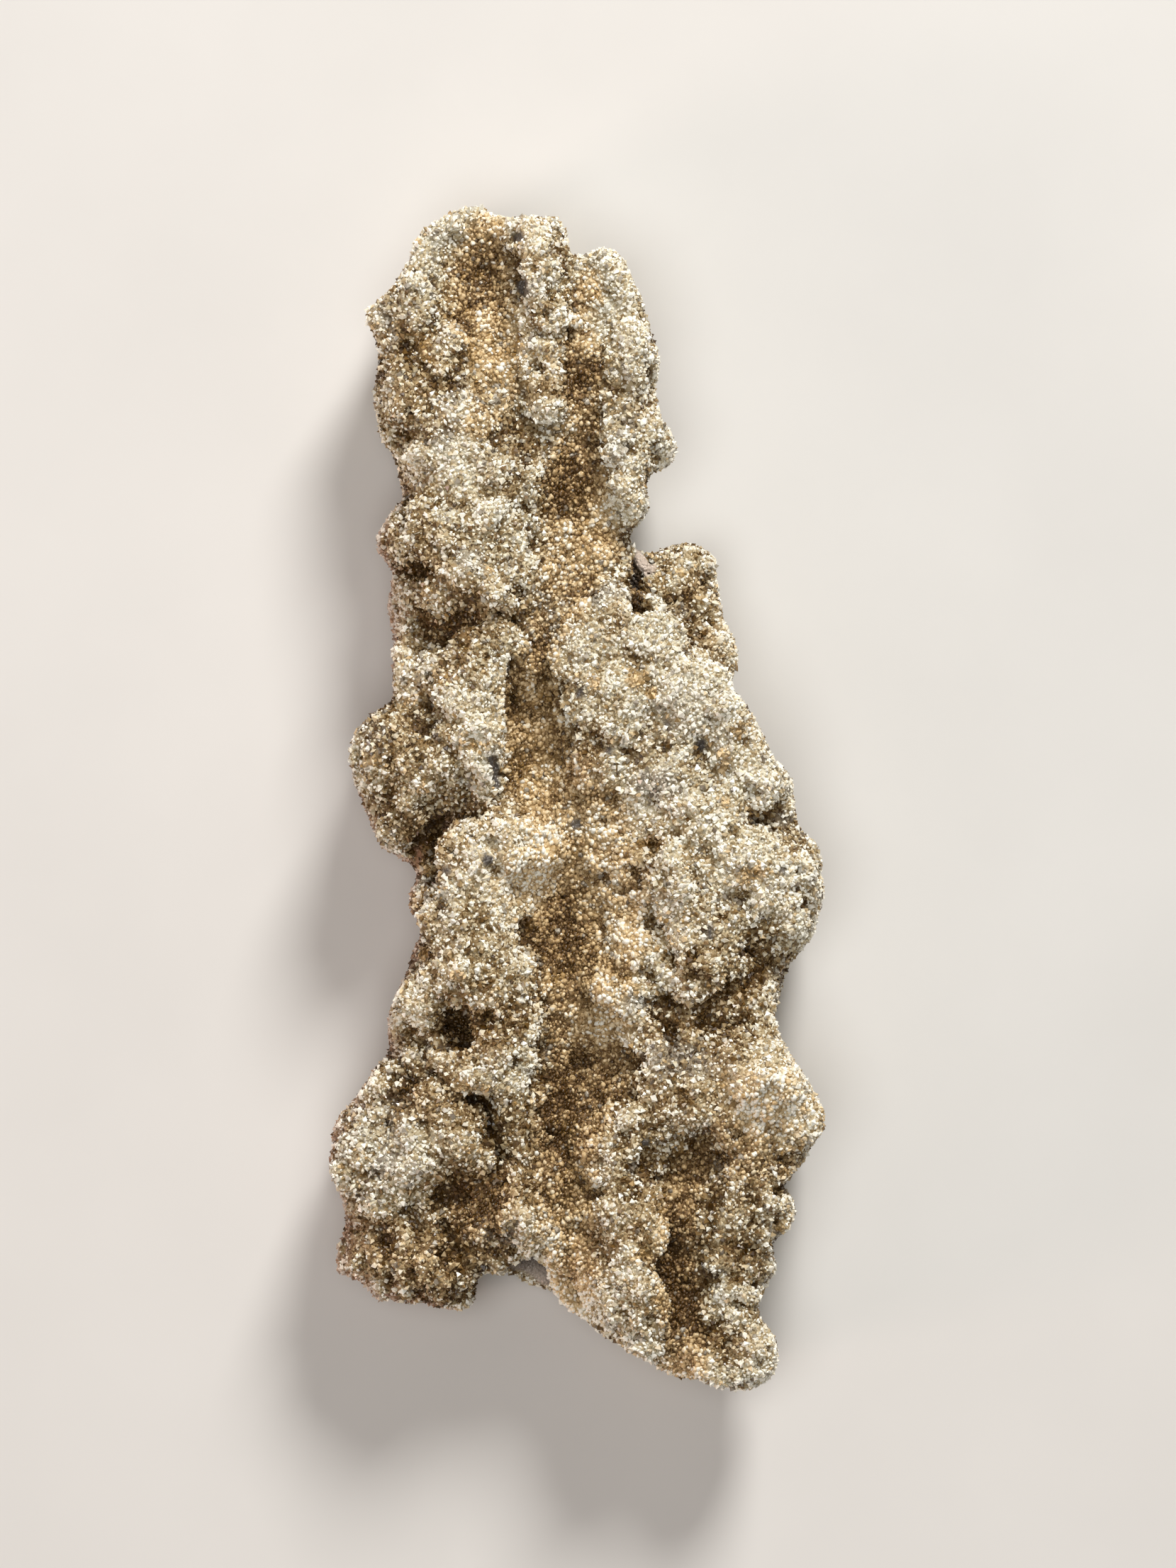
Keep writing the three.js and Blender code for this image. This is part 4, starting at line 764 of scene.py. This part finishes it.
def strewn(name, at, facing, across, form, sides, smooth, material, proud, uneven):
    """One mesh of many grains of these sizes across, with a map named OFBake in which each grain has its
    own cell."""
    count = len(at)
    stretch = across[:, None] * rng.uniform(0.6, 1.4, (count, 3)) / 2
    turns = turned(count)
    local = form[None] * stretch[:, None] * rng.uniform(1 - uneven, 1 + uneven, (count, len(form), 1))
    solids = np.einsum("nij,nkj->nki", turns, local) + (at + facing * (across * proud)[:, None])[:, None]
    solids[..., 2] = np.clip(solids[..., 2], GRAIN_FLOOR, top + GRAIN_HEADROOM)
    corner = (np.arange(count) * len(form))[:, None, None] + sides[None]
    made = piece(name, solids.reshape(-1, 3), corner.reshape(-1, 3), smooth)
    row = int(math.ceil(math.sqrt(count)))
    cell = np.stack([np.arange(count) % row, np.arange(count) // row], axis=1)
    flat = 0.5 + 0.3 * form[:, :2]
    spots = (cell[:, None, None] + flat[sides][None]) / row
    layer = made.data.uv_layers.new(name="OFBake")
    layer.data.foreach_set("uv", spots.astype(np.float32).ravel())
    state = seasoned(at, facing)
    spread = 1.12 - 0.46 * state["furrow"]
    # Each grain's tone follows pale, with its painted light on crests and painted shade in hollows.
    tone = 0.45 + spread * (rng.random(count) - 0.46) + 0.46 * state["pale"]
    faces = tone[:, None] + rng.normal(0, 0.12, (count, len(sides)))
    tint = rng.random(count)
    # Clear grains gather where the crust is paler, which is partly painted light on crests.
    washed_and_lit = 0.3 * np.maximum(state["pale"], 0) * (1 - state["furrow"])
    paint(made, "FACE",
          tone=np.clip(faces, 0, 1).ravel(),
          gloss=np.repeat(rng.random(count), len(sides)),
          furrow=np.repeat(np.clip(state["furrow"] + rng.normal(0, 0.25, count), 0, 1), len(sides)),
          blush=np.repeat(state["blush"], len(sides)),
          glassy=np.repeat((tint < 0.05 + 0.7 * state["glassy"] + washed_and_lit).astype(float), len(sides)),
          rusty=np.repeat((tint > 0.985 - 0.75 * state["rusty"]).astype(float), len(sides)))
    made.data.materials.append(material)
    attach(made, "root")


def grain_finish(name, **fixed):
    """The finish of quartz grains, each with its own tone and gloss, some clear or rusty, some with painted
    pink reflected light.
    """
    material, shader, start = finish(name, **fixed)
    tone = start.kept("tone")
    clean = tone.through((0.0, UMBER), (0.2, BROWN), (0.4, TAN), (0.6, CREAM), (0.8, QUARTZ), (1.0, WHITE))
    sandy = tone.through((0.0, UMBER), (0.25, EARTH), (0.55, STRAW), (0.85, PEACH), (1.0, WHITE))
    clear = tone.through((0.1, UMBER), (0.45, LILAC), (0.8, PEARL), (1.0, WHITE))
    stained = tone.through((0.0, UMBER), (0.5, OCHRE), (1.0, PEACH))
    pink_reflected = tone.through((0.0, UMBER), (0.5, REFLECTED_PINK), (1.0, LIP_PINK))
    colour = start.kept("furrow").blend(clean, sandy)
    colour = start.kept("glassy").blend(colour, clear)
    colour = start.kept("rusty").blend(colour, stained)
    # Painted pink reflected light on the grains of the low left flanks.
    colour = (start.kept("blush") * 0.85).blend(colour, pink_reflected)
    wire(shader, Base_Color=colour, Roughness=0.15 + 0.5 * start.kept("gloss"))
    return material


def seen(spots):
    """Grains lie closer on what shows than underneath, and none lie in the bore."""
    facing = slopes(field, spots)
    return (0.3 + 0.7 * ramped(facing[:, 2], -0.6, 0.0)) * (on_wall(spots, facing) < 0.3) + 1e-9


# None lie on the dark spots of uncovered glass and painted pit shade, or on the flats that the piece rests
# on.
at = scattered(points, triangles, GRAIN_TRIES, GRAIN_SPACING, seen)
direction = slopes(field, at)
state = seasoned(at, direction)
open_face = (state["bore"] < 0.3) & (state["bare"] < 0.5) & (at[:, 2] > 0.1)
in_sand = (state["furrow"] > 0.6) & open_face
on_crust = ~in_sand & open_face
sand = np.flatnonzero(in_sand)[:MOST_SAND]
sharp = np.flatnonzero(on_crust)[:MOST_SHARP]
sharp_finish = grain_finish("sharp_quartz", IOR=1.5)
round_finish = grain_finish("worn_quartz", IOR=1.48)
strewn("sand_in_furrows", at[sand], direction[sand], sizes(len(sand), least=0.15, more=0.16, skew=1.3),
       ROUND_POINTS, ROUND_SIDES, True, round_finish, proud=0.12, uneven=0.16)
bands = np.array_split(sharp[np.argsort(at[sharp][:, 1])], BANDS)
for number, band in enumerate(bands):
    strewn(f"quartz_grains_{number + 1}", at[band], direction[band],
           sizes(len(band), least=0.13, more=0.21, skew=2),
           SHARP_POINTS, SHARP_SIDES, False, sharp_finish, proud=0.14, uneven=0.2)

# ---- The floor --------------------------------------------------------------------------------------------
# A plain board that the piece lies on, pale and matt and faintly mottled. It is wider than the view, so that
# no edge of it shows.
HALF_FLOOR = 900
board = piece("floor", np.array([(-1, -1, 0), (1, -1, 0), (1, 1, 0), (-1, 1, 0)], float) * HALF_FLOOR,
              np.array([(0, 1, 2, 3)]), smooth=False)
board_finish, shader, start = finish("pale_board", Roughness=0.8)
place = start.node("ShaderNodeTexCoord", out=3)
mottle = start.node("ShaderNodeTexNoise", {}, {"Vector": place, "Scale": 60.0, "Detail": 4.0})
wire(shader, Base_Color=mottle.through((0.3, (0.72, 0.71, 0.69)), (0.7, (0.76, 0.75, 0.73))))
board.data.materials.append(board_finish)

# ---- Light and camera -------------------------------------------------------------------------------------
# A broad soft light over the narrow end, a weaker one overhead and a faint warm one low at the left. The
# camera looks straight down on the piece from DISTANCE.


def lamp(name, at, size, power, colour):
    """A round soft light, aimed at the middle of the piece. Its place and width are in mm."""
    data = bpy.data.lights.new(name, "AREA")
    data.shape = "DISK"
    data.size = size * MM
    data.energy = power
    data.color = colour
    made = bpy.data.objects.new(name, data)
    made.location = [v * MM for v in at]
    aim = -made.location.normalized()
    made.rotation_euler = aim.to_track_quat("-Z", "Y").to_euler()
    bpy.context.collection.objects.link(made)


lamp("key", at=(110, 330, 250), size=140, power=1.86, colour=(1.0, 0.97, 0.93))
lamp("overhead", at=(-60, -40, 420), size=260, power=0.7, colour=(1.0, 0.99, 0.98))
lamp("low_left", at=(-300, -120, 70), size=120, power=0.35, colour=(1.0, 0.72, 0.62))

world = bpy.data.worlds.new("room")
world.use_nodes = True
room = world.node_tree.nodes["Background"]
room.inputs["Color"].default_value = (1.0, 0.88, 0.72, 1)
room.inputs["Strength"].default_value = 0.10
bpy.context.scene.world = world
bpy.context.scene.view_settings.view_transform = "Standard"

PLANE = 7.0  # height over the floor of the plane in which the view is measured
VIEW_HEIGHT = 73.73  # from the frame's top edge to its bottom edge in that plane
DISTANCE = 350.0  # from the camera down to that plane
SENSOR = 36.0
view = bpy.data.cameras.new("camera")
view.sensor_fit = "VERTICAL"
view.sensor_height = SENSOR
view.lens = SENSOR * DISTANCE / VIEW_HEIGHT
view.clip_start = 0.01
camera = bpy.data.objects.new("camera", view)
camera.location = (0.5 * MM, 0.65 * MM, (DISTANCE + PLANE) * MM)
bpy.context.collection.objects.link(camera)
bpy.context.scene.camera = camera
